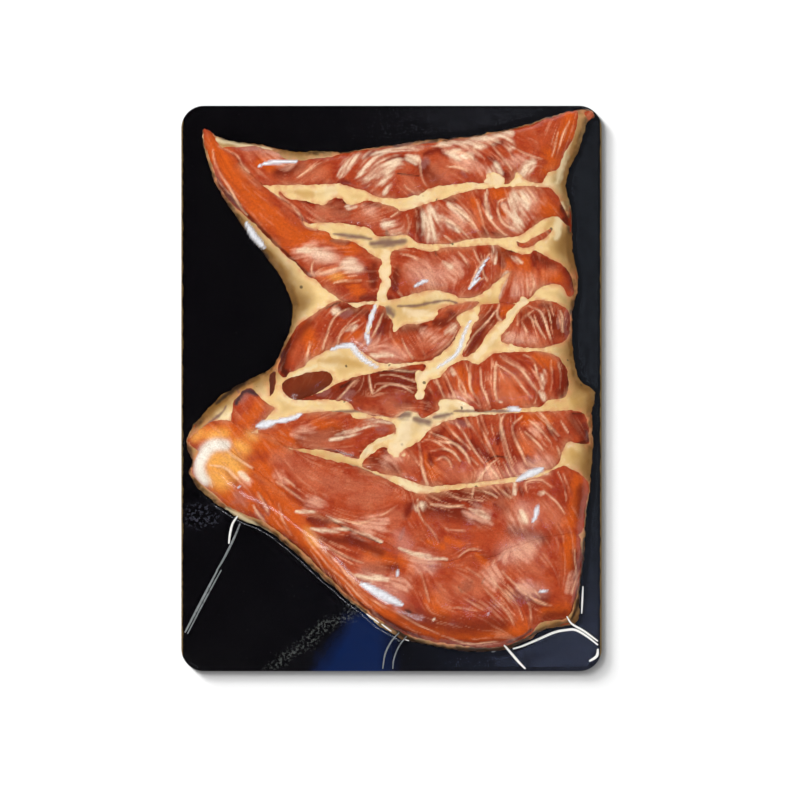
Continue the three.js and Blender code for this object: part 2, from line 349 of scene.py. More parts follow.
def swelling(depth, rise, width):
    """The shoulder of a slice: up from its edge, and down under the sauce outside it."""
    up = rise * (1 - np.exp(-np.maximum(depth, 0) / width))
    down = DIVE * (1 - np.exp(np.minimum(depth, 0) / DIVE_WIDTH))
    return up - down


order = list(EDGES)
raw = {}
below = np.full(X.shape, -99.0)
for name in order:
    rise, width = SWELL.get(name, USUAL_SWELL)
    depth = depths[name]
    own = level + swelling(depth, rise, width) + lumps * ramp(depth, 0, 3)
    on_top = below + OVERLAP_STEP * (1 - np.exp(-np.maximum(depth, 0) / 1.2))
    own = np.where(depth > 0, np.maximum(own, on_top), own)
    raw[name] = np.minimum(own, slope_limit)
    below = np.where(depth > 0, raw[name], below)
carve = CARVE * ramp(blur(np.clip(dabs, 0, 1), 1.0), 0.1, 0.9)
print("highest fish", round(float(below.max()), 2))

# %% [markdown]
# ## What lies underneath
# Under each piece the next one has to fit. Going down from the top piece, every slice is pressed
# under the ones above it, and keeps a thin layer of its own. A slice is cut on the slant, so it thins
# out to nothing at its edge and leaves no step on the slice below. It could end where it stops
# showing, but a skirt that runs on under the sauce and the next slice closes the gaps at a glance
# from the side.

# %% Press the hidden parts down
SLICE_THICKNESS = 1.9
EDGE_THICKNESS = 0.14
SLANT = 0.6
TUCK = 12.0
SKIRT, SMALL_SKIRT = 2.4, 0.8
PLY_GAP = 0.04
CARD_GAP = 0.15
SMALL_PIECES = ("corner_bit", "sliver", "loose_scrap", "sauce_scrap", "flap")
tops, bottoms, outlines = {}, {}, {}
ceiling = np.full(X.shape, 99.0)
nothing = np.full(X.shape, -16.0)
cover = nothing
for place, name in reversed(list(enumerate(order))):
    depth = depths[name]
    lower = np.max([depths[other] for other in order[:place]] or [nothing], axis=0)
    skirt = np.minimum(np.minimum(depth + SKIRT, -lower - 0.3), in_sauce - 0.5)
    tucked = np.minimum(depth + TUCK, cover - 1.0)
    if name in SMALL_PIECES:
        skirt = np.minimum(np.minimum(depth + SMALL_SKIRT, -lower - 0.3), in_sauce - 0.4)
        tucked = depth
    outlines[name] = np.maximum(np.minimum(depth, in_sauce), np.maximum(skirt, tucked))
    top = np.minimum(raw[name] - carve, ceiling)
    top = np.maximum(top, CARD_TOP + 0.4)
    thick = EDGE_THICKNESS + SLANT * np.maximum(outlines[name], 0)
    thick = np.clip(thick, EDGE_THICKNESS, SLICE_THICKNESS)
    thick = np.minimum(thick, np.maximum(EDGE_THICKNESS, 0.75 * (top - CARD_TOP - 0.2)))
    tops[name] = top
    bottoms[name] = np.maximum(top - thick, CARD_TOP + CARD_GAP)
    ceiling = np.where(outlines[name] > 0, np.minimum(ceiling, bottoms[name] - PLY_GAP), ceiling)
    cover = np.maximum(cover, depth)
fish_top = np.max([np.where(outlines[n] > 0, tops[n], -99) for n in order], axis=0)
print("pressed", len(tops), "pieces")

# %% [markdown]
# ## Sauce and film
# The sauce fills up to its level and rises over the fish where it was dabbed. The film is a tight
# tent: from every high point it falls no steeper than its slope, so it bridges narrow valleys and
# runs down to the card outside the fish. A cloth simulation would find much the same shape, but the
# slope rule is quicker and comes out the same each time.

# %% The sauce surface and the film over everything
FILM_GAP = 0.16
TENT_REACH = 4.0
DAB_HEIGHT = 0.30
LEAST_SAUCE = 0.12
banks = np.minimum(level - 0.03 + 0.05 * noise(4, 8), slope_limit - 0.22)
dabbed = fish_top + DAB_HEIGHT * np.clip(dabs, -1.5, 1)
sauce_top = np.where(in_sauce > 0, np.maximum(banks, np.where(fish_top > 0, dabbed, banks)), banks)
sauce_top = np.maximum(sauce_top, CARD_TOP + LEAST_SAUCE)
visible = np.maximum(np.maximum(fish_top, np.where(in_sauce > 0, sauce_top, 0)), CARD_TOP)
tent = visible.copy()
for _ in range(int(TENT_REACH / STEP)):
    for axis in (0, 1):
        for shift in (1, -1):
            tent = np.maximum(tent, np.roll(tent, shift, axis) - FILM_SLOPE * STEP)
tent = 0.6 * blur(tent, 0.7) + 0.4 * blur(visible, 0.9)
cling = np.maximum(np.maximum(visible, tent), blur(visible, 0.9)) + FILM_GAP
print("film top at most", round(float(cling.max()), 2), "of", round(film_high.z / MM, 2))

# %% [markdown]
# ## Turning heights into meshes
# Each piece starts as a grid primitive laid out on the net. Its points outside the outline are
# deleted, the rim is pulled onto the outline, and the sheet is extruded down to give it a body. The
# masks that colour it are stored on its points, where its material can read them.

# %% A sheet cut from the net
def sample(field, x, y):
    """A net field at any place, between its points."""
    u = np.clip((x + HALF_WIDTH) / STEP, 0, X.shape[1] - 1.001)
    v = np.clip((y + HALF_LENGTH) / STEP, 0, X.shape[0] - 1.001)
    i, j = u.astype(int), v.astype(int)
    u, v = u - i, v - j
    return (field[j, i] * (1 - u) * (1 - v) + field[j, i + 1] * u * (1 - v)
            + field[j + 1, i] * (1 - u) * v + field[j + 1, i + 1] * u * v)


def points_of(mesh):
    """The places of a mesh's points, one row each."""
    co = np.empty(len(mesh.vertices) * 3)
    mesh.vertices.foreach_get("co", co)
    return co.reshape(-1, 3)


def set_points(mesh, co):
    """Puts the points of a mesh in new places."""
    mesh.vertices.foreach_set("co", co.ravel())
    mesh.update()


def cut_sheet(name, outline, top, bottom, stride=1):
    """A closed body between two height fields, inside outline > 0."""
    rows, columns = np.where(outline[::stride, ::stride] > -STEP)
    r0, r1 = rows.min() * stride, rows.max() * stride
    c0, c1 = columns.min() * stride, columns.max() * stride
    nx, ny = (c1 - c0) // stride, (r1 - r0) // stride
    bpy.ops.object.select_all(action="DESELECT")
    bpy.ops.mesh.primitive_grid_add(x_subdivisions=nx, y_subdivisions=ny, size=1)
    piece = bpy.context.object
    piece.name = name
    piece.data.name = name
    mesh = piece.data
    co = points_of(mesh)
    column = c0 + stride * np.rint((co[:, 0] + 0.5) * nx).astype(int)
    row = r0 + stride * np.rint((co[:, 1] + 0.5) * ny).astype(int)
    depth = outline[row, column]
    slope_y, slope_x = np.gradient(outline, STEP)
    steep = np.hypot(slope_x, slope_y)[row, column]
    near_edge = (depth < 0) & (depth > -1.5 * STEP * stride)
    pull = np.where(near_edge, -depth, 0) / np.maximum(steep, 0.7) ** 2
    co[:, 0] = xs[column] + pull * slope_x[row, column]
    co[:, 1] = ys[row] + pull * slope_y[row, column]
    co[:, 2] = 0
    set_points(mesh, co)
    bpy.ops.object.mode_set(mode="EDIT")
    bpy.ops.mesh.select_mode(type="VERT")
    bpy.ops.mesh.select_all(action="DESELECT")
    bpy.ops.object.mode_set(mode="OBJECT")
    mesh.vertices.foreach_set("select", depth < -0.75 * STEP * stride)
    bpy.ops.object.mode_set(mode="EDIT")
    bpy.ops.mesh.delete(type="VERT")
    bpy.ops.mesh.select_all(action="SELECT")
    bpy.ops.mesh.extrude_region_move(TRANSFORM_OT_translate={"value": (0, 0, -1)})
    bpy.ops.object.mode_set(mode="OBJECT")
    co = points_of(mesh)
    lower = co[:, 2] < -0.5
    x, y = co[:, 0], co[:, 1]
    co[:, 2] = np.where(lower, sample(bottom, x, y), sample(top, x, y))
    set_points(mesh, co * MM)
    bpy.ops.object.mode_set(mode="EDIT")
    bpy.ops.mesh.select_all(action="SELECT")
    bpy.ops.mesh.delete_loose()
    bpy.ops.mesh.select_all(action="SELECT")
    bpy.ops.mesh.normals_make_consistent(inside=False)
    bpy.ops.object.mode_set(mode="OBJECT")
    bpy.ops.object.shade_smooth()
    print(name, len(mesh.polygons), "faces")
    return piece


def paint(piece, name, field):
    """Gives a mesh one value per point, read by its material."""
    mesh = piece.data
    co = points_of(mesh) / MM
    layer = mesh.attributes.new(name, "FLOAT", "POINT")
    layer.data.foreach_set("value", sample(field, co[:, 0], co[:, 1]).astype(np.float32))

# %% [markdown]
# ## Marbling
# Trout flesh is orange-red. Thin pale lines of fat run between its muscles and widen into cream
# veils where the knife met them flat. They are what the eye knows each slice by, so the main ones
# are given one by one: the width of each, and a few points along it. Fat lies in the flesh and has no
# thickness of its own, so these are colours and not pieces.

# %% Fat lines, upper slices
UPPER_LINES = [
    (1.0, (-37.5, 84), (-33, 86.5), (-29, 89), (-25, 91)),
    (0.9, (10.5, 92), (11.5, 87), (13, 83), (15, 80)), (0.7, (4.5, 81), (6.5, 79), (9, 77.5)),
    (0.7, (15.5, 96), (19, 96.5), (22.5, 95)), (0.9, (38.5, 97.5), (42, 94), (46, 90), (48.5, 86.5)),
    (0.8, (43.5, 98.5), (46.5, 95), (49.5, 91)), (0.8, (48, 97), (53, 94), (60, 91.5)),
    (0.8, (66.5, 103), (65, 98), (63.5, 93)), (0.8, (70.5, 107), (68.5, 102), (66.5, 97)),
    (0.7, (25, 94.5), (29, 93), (32, 90.5)), (0.7, (30, 96.5), (34, 93.5), (37, 91)),
    (0.7, (22, 88.5), (27, 87.5), (31, 85)), (1.0, (-69, 96.5), (-62, 92.5), (-59.5, 88.5), (-57, 85.5)),
    (0.9, (-50, 80), (-45, 76.5), (-40.5, 73.5)), (1.8, (-40, 73), (-36, 69.5), (-33.5, 65.5), (-30, 64)),
    (1.0, (-71, 95), (-69.5, 88), (-66.5, 82), (-61.5, 75), (-56.5, 69.5)),
    (0.7, (33.5, 75), (36.5, 69), (38, 64), (39.5, 60)), (0.8, (31.5, 69.5), (34.5, 64), (36.5, 60)),
    (1.0, (24, 72.5), (29.5, 69.5), (33, 65.5), (36.5, 60)), (0.8, (21, 67), (26, 65.5), (31.5, 60)),
    (1.1, (37.5, 79), (37, 74.5), (38.5, 70), (41.5, 65.5), (46, 61)),
    (1.0, (46, 75.5), (42.5, 74), (42.5, 70), (45, 66), (49, 63.5)),
    (0.9, (51, 79), (53.5, 76), (56, 74)), (0.7, (54.5, 80), (57, 77.5), (58.5, 75)),
    (0.7, (7, 70), (7.5, 66), (6.5, 63)), (0.7, (0, 69), (3, 71)), (0.7, (21, 61.5), (24, 59)),
    (0.8, (-29, 46), (-24.5, 47.5), (-19, 48.5)), (1.2, (-23, 41.5), (-18, 43), (-12.5, 43.5)),
    (0.8, (-31, 51), (-31.5, 47.5), (-30.5, 45)), (0.8, (3.5, 54), (7, 53), (10, 51)),
    (0.7, (26, 55), (29, 51.5), (31, 47.5)), (0.9, (32.5, 56), (34.5, 52), (36.5, 49)),
    (0.8, (36.5, 49), (37, 45), (38.5, 42)), (1.2, (39.5, 53.5), (36.5, 49.5), (33, 44), (31, 39.5)),
    (0.7, (31.5, 39.5), (34.5, 42), (37, 43)), (0.8, (53.5, 43.5), (55, 40)),
    (0.9, (56, 47), (57, 42), (55.5, 37.5)), (0.8, (2, 39), (4.5, 35.5)),
    (1.1, (-17.5, 32), (-22, 29), (-25, 25), (-27, 20), (-27.5, 16)),
    (0.9, (-13, 27), (-18, 24.5), (-21, 20.5), (-22, 16.5)), (0.8, (-32.5, 19), (-33.5, 14), (-34, 10.5)),
    (0.8, (-3, 29.5), (-5, 25), (-8, 20)), (0.9, (3, 20), (5, 16), (8, 12)),
    (0.8, (11.5, 16), (13, 12.5)), (1.0, (26, 23.5), (22.5, 19), (17.5, 14.5), (12, 11.5)),
    (0.8, (41.5, 31), (36.5, 25), (31.5, 19.5), (28.5, 15)), (0.9, (42.5, 33.5), (42, 29), (44.5, 26)),
    (1.0, (54, 33), (58.5, 31), (60.5, 27), (62.5, 20)), (0.9, (53.5, 29.5), (57, 25.5), (60, 20)),
    (0.9, (56, 31), (53, 28.5), (50, 25)), (0.7, (51.5, 26.5), (54, 22.5)), (1.1, (50.5, 31), (50.5, 25)),
    (0.8, (60.5, 34.5), (62.5, 31), (63.5, 26)), (1.1, (67, 31), (68, 27), (68, 22.5)),
    (0.8, (45, 20.5), (47.5, 22.5)),
]
print(len(UPPER_LINES), "fat lines above the middle")

# %% [markdown]
# In the lower slices the lines lie closer and run steeper, and in the middle of two of them they
# curl into rings, so these need a few more points than the rest.

# %% Fat lines, lower slices
LOWER_LINES = [
    (1.0, (-9, 5.5), (-8, 0), (-7, -2.5)), (0.8, (-3.5, 7.5), (4, 7), (11, 7)),
    (0.8, (-4, 4.5), (3, 4.5), (10, 3)), (0.9, (-6.5, -2), (-3, 0), (4, 0.5), (9, -1)),
    (0.7, (-14, 3), (-18, -1), (-22.5, -4.5)),
    (0.9, (23, 7.5), (25.5, 4.5), (26, 1), (28, -2.5), (34, -8)),
    (1.1, (29, 10.5), (30, 6), (30.5, 0), (33, -4.5), (35, -8.5)),
    (0.9, (35, 9), (35, 2), (37, -3), (39, -8)), (1.4, (41.5, 11), (41, 6), (41, 0), (42, -5)),
    (1.2, (43, 13.5), (48, 10), (52, 6.5), (55.5, 2), (57.5, -2), (56.5, -6)),
    (0.9, (42, 10), (47, 6.5), (52, 1), (55.5, -4)), (1.0, (52.5, 13.5), (56, 11), (57.5, 6), (59.5, 0)),
    (0.8, (63, 11), (63.5, 5), (63, -2)), (0.8, (66, 10), (67, 5), (66.5, -1)),
    (0.7, (16.5, 2.5), (20, -0.5)), (0.9, (-14, -9.5), (-6, -10), (1, -11.5), (6, -9.5), (10, -9.5)),
    (1.1, (16.5, -16.5), (15.5, -19), (19, -20.5), (25, -21.5), (29, -25), (31, -29)),
    (0.8, (31, -26.5), (34.5, -30)), (1.2, (15.5, -24.5), (20, -23.5), (24, -25), (27, -28.5)),
    (1.1, (17, -28.5), (19.5, -27), (22, -28.5), (23.5, -31.5)), (0.9, (20.5, -14), (25, -18), (31, -23)),
    (1.2, (28, -11), (30.5, -15.5)), (0.9, (35, -10.5), (36.5, -15), (38, -18.5)),
    (1.5, (11, -20.5), (11.5, -28), (13, -33), (14, -38.5)), (0.8, (5, -23), (8.5, -27), (11, -30.5)),
    (0.8, (5.5, -29.5), (7, -27), (10, -29.5)),
    (1.3, (45, -10), (43, -13.5), (43, -18), (45, -23), (48, -31), (50, -35)),
    (1.1, (51.5, -10.5), (48, -14.5), (49, -20), (51.5, -26), (54.5, -31)),
    (1.1, (53, -17), (57, -21.5), (60, -25)), (1.1, (58, -9.5), (62, -14), (66, -18.5)),
    (0.8, (54, -12), (60, -17.5), (63.5, -22)), (0.7, (66.5, -12.5), (69, -17)),
    (0.9, (66, -23), (67.5, -26)), (0.9, (32, -43), (33.5, -38), (36, -34), (39, -30.5), (43, -28)),
    (1.0, (39, -30.5), (42, -35), (43.5, -38)), (0.7, (43, -31), (45.5, -36)),
    (0.7, (45, -29), (47.5, -35)), (0.8, (20, -41), (26, -43.5), (31, -43.8), (36, -45)),
    (1.1, (15.5, -46), (22, -46.5), (29, -46)), (0.9, (34, -39.8), (38, -41.5), (42, -44)),
    (1.0, (41, -38), (44, -41.5), (47.5, -44.5)),
    (0.9, (54, -42), (53.5, -38.5), (56, -36.8), (60, -36.8), (64, -39.5)),
    (0.8, (66.5, -33), (68.5, -38), (69.5, -45)), (0.7, (69, -34), (71, -42)),
    (0.7, (61, -41), (66, -46), (69, -50)), (0.7, (10.5, -43.5), (12, -51), (16, -57), (19, -62)),
    (1.0, (21, -56), (22.5, -57.5)), (0.8, (23, -56.8), (29, -56.5)),
    (0.9, (-22, -52), (-12, -53), (-4, -51), (3, -46.5)),
    (1.1, (-30, -62.5), (-23, -64.5), (-17, -67), (-11, -69)), (1.1, (-19, -72), (-15, -74.5), (-9, -76)),
    (0.9, (-46, -37), (-40, -41.5), (-35, -45)), (0.8, (-43, -35.5), (-38, -39.5)),
    (1.2, (-52, -41), (-50, -45), (-49, -49)), (1.1, (-54.5, -46), (-52.5, -50.5), (-50.5, -53)),
    (0.8, (-45, -46), (-43.5, -52), (-40, -58)), (0.8, (-37, -55.5), (-30, -65), (-20, -76), (-8, -87)),
    (0.8, (-32, -60), (-25, -68), (-14, -79)), (0.8, (-15, -78), (-4, -86.5), (8, -93.5), (19, -98)),
    (0.7, (29, -71), (36, -75.5)), (1.0, (29, -83.5), (36, -88)), (0.7, (23, -87), (33, -88.5)),
    (0.9, (40, -84), (43, -87)), (0.7, (36, -78), (44, -86.5), (49, -94)),
    (0.7, (40, -75), (48, -84), (52, -92)), (0.7, (44, -72), (50, -79), (55, -84)),
    (1.0, (53.5, -84), (55, -89), (54.5, -95)), (0.9, (55, -83), (58, -86), (64, -87)),
    (0.8, (57, -80.5), (60, -84)), (1.1, (11.5, -73), (13.5, -80), (15, -85)),
    (0.9, (73, -64), (73, -72), (71.5, -82)), (1.2, (-71.5, -30), (-66, -31), (-61, -36)),
    (1.3, (-66, -21.5), (-63, -26), (-59, -29), (-55, -31.5)),
    (0.8, (26, -67), (28.5, -65), (32, -64.5), (36, -65.5)), (0.9, (40.5, -69.5), (43.5, -65)),
    (0.8, (20, -98.5), (30, -101), (42, -101.5)),
    (0.7, (15.5, -17), (22, -19.5), (28, -24.5), (30.5, -28.5)),
    (0.7, (21, -12.5), (26.5, -15.5), (32, -22.5), (37, -29.5)),
    (0.7, (26.5, -10.5), (32.5, -16.5), (39.5, -25.5)),
    (0.7, (33.5, -10.5), (35.5, -16.5), (41, -25.5), (43.5, -30.5)),
    (0.7, (42.5, -10.5), (43.5, -16.5), (46.5, -24.5), (49.5, -30.5)),
    (0.7, (58.5, -10), (63, -16.5), (65.5, -20.5)), (0.7, (17, 4), (21, -4)), (0.7, (20, 6), (25, -4)),
    (0.7, (24, 7), (28, 0), (29, -4.5)), (0.7, (12, -21), (16, -19.5), (21, -23)),
]
FAT_LINES = UPPER_LINES + LOWER_LINES
print(len(FAT_LINES), "fat lines in all")

# %% [markdown]
# ### Cream and haze
# Where the knife ran along a layer of fat instead of across it, the fat shows as a cream veil. The
# pink haze is pale patches on the flesh, partly its own tone and partly a painted milky reflection of
# the film. They could be wide fat lines, but a veil has no sharp edge, so both are kept apart and are
# feathered far more.

# %% Veils
CREAM_VEILS = [
    (3, (-21, 84.5), (-18, 88.5), (-13, 93)), (4, (41, 82.5), (41, 85), (41.5, 88)),
    (3.4, (50, 83), (53, 86.5), (56, 90)), (2.4, (3, -13), (-7, -13.5), (-15, -17), (-24, -20.5)),
    (8, (-11, 85.5), (-5, 89), (1, 90)), (5, (-12.5, 83.5), (-7, 83)), (5, (-5, 83), (-1, 86)),
    (3, (6, 92.5), (10, 91)), (1.8, (-9.5, 80), (-6.5, 83)), (1.8, (-3, 77.5), (-0.5, 82)),
    (2.4, (-6, 95), (3, 95.5)), (4.4, (20, 97.6), (30, 98.6), (40, 99.8), (47, 101.5)),
    (2.6, (-6, 94.4), (4, 95.6), (12, 96.2)), (2.4, (33, 96), (37, 97)), (3, (46, 99), (47.5, 96)),
    (2, (22, 93.8), (27, 95)), (1.8, (28, 92.5), (32, 93)), (2, (23, 93.5), (27, 91)),
    (1.4, (30, 94), (34, 91)), (6, (15.8, 71), (16, 65), (16, 60)),
    (1.6, (18.5, 69), (23.5, 65.5), (27, 62.5)), (2.2, (22.5, 73.5), (27, 70.5), (30, 67)),
    (6, (48.5, 77), (48.5, 71), (51, 65)), (3, (52, 78), (54, 72)),
    (1.6, (38, 79), (37.5, 73), (39.5, 68)), (1.8, (-18, 72.3), (-14.5, 72.8)), (3, (-3, 65), (-0.5, 65)),
    (1.8, (0, 60.5), (4, 61)), (4.4, (-18.5, 49), (-14.5, 48)), (1.6, (40.5, 57), (41, 50)),
    (1.4, (48, 52.5), (51.5, 50)), (2, (20.5, 50.5), (23.5, 48.5)), (2.4, (46, 46), (43.5, 40), (42, 36)),
    (2, (-18, 23), (-14.5, 25)), (2.4, (-23, 31.5), (-22, 30.5)), (2.6, (21.5, 22), (25, 24.5)),
    (1.8, (-8, 13.5), (0, 13)), (2, (23, 7.5), (24.5, 6)), (2, (59, -1), (60.5, -4)),
    (2, (60.5, 7), (60, 0)), (1.3, (43, -5.4), (44, -5.4)), (1.2, (-26, -50.5), (-14, -56.5), (-4, -61)),
    (1.4, (3, -63.5), (10, -66), (22, -68)), (1.3, (-38, -49), (-31, -49)), (1.2, (49, -37.5), (49, -42)),
    (2, (57, -33), (50, -36)), (1.4, (45, -37), (62, -34)), (1.6, (31, -47.8), (35, -49.5), (39, -51.5)),
    (2.4, (51, -49), (53, -53)), (1.4, (58.5, -42), (60, -41.5)), (3, (12.5, -46.5), (10.5, -47.5)),
    (2.4, (-14, -74.5), (-8, -75.5), (-2, -76)), (1.5, (-32, -55.8), (-26, -56.6), (-17, -56)),
    (2.4, (-37, 54.8), (-31, 55.2), (-26, 54)), (2, (-73, -35), (-71.5, -38.5)),
    (1.6, (-60.5, -33.5), (-57, -36)), (1.4, (17, -91.8), (16.5, -92.2)),
]
# Pink haze, partly the flesh's own pale tone and partly a painted milky reflection of the film.
PINK_HAZE = [
    (4.4, (-38, 54), (-30, 54.5), (-22, 52)), (6, (52, 73), (56, 74)), (5, (-12, 17.5), (-4, 17)),
    (4, (22, 95), (34, 93)), (3, (40, -68), (40, -73), (41, -79)), (5, (22, 47), (27, 49)),
    (5, (54, 43), (50, 39)), (4, (28, 90), (36, 88)), (5, (8, 47.5), (14, 47)), (6, (14, 43), (23, 44)),
    (3, (-11, 71.5), (-7, 70.5)), (4, (24, 66), (27, 68)), (4, (25, 92.5), (33, 89.5)),
    (3, (-45, 89), (-40, 90)), (4, (-50, 94.5), (-45, 93)), (4, (12, 22), (21, 19)),
    (5, (-6, 13.5), (4, 13)), (3, (-10, 19.5), (-9, 17.5)), (4, (46, 21), (56, 19)),
    (3.4, (24, -3.5), (31, -5)), (4, (4, -27), (-2, -29)), (5, (36, -34), (41, -37)),
    (5, (52, -33), (62, -29)), (6, (50, -50), (52, -54)), (5, (31, -50), (37, -52)),
    (6, (9, -69), (15, -70.5)), (5, (44, -67), (50, -65.5), (57, -61.5)), (5, (41, -71), (40, -77)),
    (4, (51, -79), (55, -80)), (3, (-60, -35), (-57, -37)), (3, (-46, -34), (-43, -37)),
    (4, (-33, -46), (-28, -45)), (5, (-14, -56.5), (-4, -53.5)), (3, (-39, -18), (-31, -16)),
    (3, (58, -14.5), (57, -18)), (4, (-1, -76), (6, -79)), (3, (72.5, -74), (71, -80)),
    (4, (4, 64), (0, 63)), (3, (45, 90), (52, 91)),
]
print("cream veils", len(CREAM_VEILS), "pink haze", len(PINK_HAZE))

# %% [markdown]
# ### Tints of the flesh
# One noise over the whole fish would make every slice alike, and a real one has its own map. The
# belly side and the tips are orange, and the heart of a slice is rose. The loin end runs out in a
# gold and white tip of fat. Each mark is a broad brush stroke: its width and a few points.

# %% Warm tints
ORANGE = [
    (9, (-72, 97), (-66, 88), (-56, 76), (-44, 64), (-34, 57)), (6, (-35, 61), (-24, 60), (-16, 56)),
    (5, (-28, 46), (-17, 44), (-13, 38)), (5, (-52, 90), (-40, 88)), (5, (62, 94), (65, 90), (62, 87)),
    (5, (71, 109), (70, 103), (66, 97)), (6, (42, 78), (45, 77)), (4, (44.5, 72), (45.5, 68)),
    (7, (60, 73), (64, 70)), (4, (33, 74), (36, 64)), (5, (44, 53), (46, 48)), (6, (53, 50), (54, 43)),
    (5, (61, 45), (66, 44)), (6, (-34, 24), (-31, 14)), (4, (-18, 20), (-13, 21)), (4, (2, 18), (6, 13)),
    (4, (44, 30), (47, 31)), (6, (28, 6), (31, -2)), (8, (45, 2), (50, -4)), (5, (58, 12), (64, 10)),
    (6, (14, -29), (17, -34)), (6, (53, -12), (61, -13)), (6, (52, -20), (55, -26)),
    (5, (-53, -7), (-57, -14)), (9, (-75, -17), (-66, -17), (-56, -18)),
    (9, (-60, -22), (-50, -22), (-40, -21)), (9, (-72, -34), (-66, -42), (-58, -46)),
    (9, (-58, -34), (-50, -44), (-44, -54)), (9, (-52, -32), (-44, -44), (-36, -58), (-27, -70)),
    (8, (-36, -58), (-22, -74), (-6, -88)), (7, (-14, -82), (2, -92), (20, -100)),
    (7, (17, -84), (20, -92), (19, -98)), (9, (26, -98), (42, -99), (52, -97)),
    (6, (74, -36), (74, -46), (71, -53)), (6, (71, -60), (71, -70)), (6, (61, -89), (69, -89)),
    (3, (22, -60), (28, -62)), (6, (-30, -14), (-22, -17)), (6, (2, -70), (-8, -66)),
    (5, (4, -68), (8, -71)), (3, (34, -66), (38, -70)), (3, (15, -61), (20, -63)),
]
GOLD = [
    (8, (-71, -27), (-66, -30)), (7, (-72, -30), (-65, -28), (-61, -33)), (7, (-72, -34), (-67, -37)),
    (4, (-62, -22), (-58, -24)), (4, (-73, -19), (-66, -18)), (2, (-24, 44.5), (-20, 44.5)),
    (2, (-34, -56), (-30, -62)), (3.4, (-79, -20), (-76, -17)), (2.4, (-54, -20), (-57, -18)),
]
ROSE = [
    (9, (22, 68), (36, 66)), (8, (42, 66), (50, 62)), (8, (12, 50), (26, 46)), (8, (50, 44), (60, 42)),
    (9, (40, 4), (52, 4)), (8, (40, -2), (52, -5)), (8, (-40, -32), (-24, -38)),
    (9, (-30, -36), (-12, -40)), (8, (-34, 52), (-24, 51)), (7, (50, -18), (58, -24)),
    (7, (20, -30), (26, -34)), (8, (-37, 86), (-28, 86)), (7, (6, 84), (9, 79)), (8, (17, 88), (22, 84)),
    (7, (-30, 70), (-18, 69)), (7, (-14, 69), (-6, 68)), (8, (8, 50), (14, 47)), (9, (12, 44), (24, 44)),
    (5, (51, 19), (60, 19)), (7, (-3, -6), (4, -8)), (8, (-34, -20), (-24, -21)), (8, (12, 18), (20, 18)),
    (9, (-16, -44), (-2, -41)), (9, (-12, -55), (2, -50)), (9, (44, -46), (52, -50)),
    (8, (60, -46), (66, -52)), (8, (8, -30), (3, -27)), (7, (25, -35), (36, -36)),
    (8, (2, -36), (-8, -37)), (10, (26, -80), (36, -78)), (10, (50, -68), (58, -72)),
    (8, (-12, -70), (-4, -73)), (7, (62, -26), (60, -29)), (8, (-46, -27), (-40, -29)),
    (6, (-26, 20), (-24, 16)), (5, (64, 47), (62, 45)), (4, (36, -2), (38, -6)),
    (8, (18, -80), (22, -84)), (6, (30, 90), (26, 88)), (7, (-58, 95), (-52, 95)),
]
print("orange", len(ORANGE), "gold", len(GOLD), "rose", len(ROSE))

# %% [markdown]
# Between two fat lines the flesh is a deep red, and painted shade darkens it where a slice turns down
# towards its edge. The thin dark marks are skin and painted shadow along the edges, and a few flecks.

# %% Dark tints
DEEP = [
    (3, (-45, 86), (-38, 88)), (2.4, (-21, 82), (-17, 82)), (2, (-11, 92), (-7, 94), (-4, 93.5)),
    (2.2, (-2, 91), (4, 92), (9, 90)), (2.6, (13, 93), (18, 95), (22, 93)), (2.6, (14, 90), (13.5, 86)),
    (2.2, (38, 92), (41, 90), (43, 87)), (2.4, (44, 86), (46, 84)), (2.4, (40, 97), (44, 98)),
    (2.4, (-22, 75), (-18, 75)), (2.4, (-11, 73.5), (-5, 73)), (3, (11, 72), (12, 66), (11.5, 59)),
    (2.4, (21, 75), (25, 75)), (2.2, (22, 66), (26, 63)), (2.6, (40, 62), (46, 60)),
    (2.4, (36, 64), (38, 61)), (3.4, (-10, 48), (-7, 44), (-7, 41)), (2.4, (1, 46), (2, 40)),
    (2, (-24, 59), (-17, 58)), (2.4, (56.5, 54), (57, 49)), (2.4, (43, 52), (44, 49)),
    (2.2, (9, 25.5), (14, 25)), (3, (17, 26.5), (22, 26)), (3, (23, 30), (25, 29)),
    (3, (-2, 27), (-5, 22)), (2, (-9.5, 31), (-9, 28)), (4, (-20, 31), (-15, 30.5)),
    (4, (36, 24), (32, 17)), (2.4, (59, 33), (63, 33)), (2.4, (64.5, 30), (64.5, 24)),
    (2, (70.5, 30), (70.5, 22)), (2, (70, 8), (70, 1), (68, -3)), (4, (-5, 6), (3, 6.5), (10, 5.5)),
    (3, (-6, 2.5), (2, 2.5), (9, 1.5)), (5, (-20, -1), (-15, 2), (-12, 3.5)), (3.4, (2, -7), (6, -6)),
    (4, (15, -2), (14, -8)), (2, (26, -12), (29, -14)), (3, (24, -21), (29, -24)),
    (3, (32, -21), (36, -26), (40, -28)), (2.4, (44, -16), (42, -22)), (3, (17, -18), (20, -18.5)),
    (2.2, (15, -26), (16, -30)), (3.6, (-3, -23), (-1, -25)), (2.4, (62, -15), (63.5, -18)),
    (4, (77, -15), (77.5, -20)), (2.4, (72, -10), (76, -11)), (2.4, (26, -41.5), (32, -42.5)),
    (2, (16, -44.5), (22, -44.8), (27, -45)), (2, (16, -48), (24, -48.5), (29, -48)),
    (2.4, (30, -45), (35, -46.5)), (2.4, (37, -39), (41, -42)), (2.4, (45, -39), (47, -42)),
    (2, (51, -39), (52, -42)), (3.4, (41, -46), (46, -48)), (3.6, (8, -46), (6, -50)),
    (4, (-18, -59), (-12, -61)), (3.6, (-33, -52), (-25, -53)), (3, (32, -77), (29, -80)),
    (3, (54, -27), (57, -32)), (3, (-44, 1), (-41, 6)), (3, (0, 36), (-12, 36)),
    (3, (-44, 12), (-42, 18)),
]
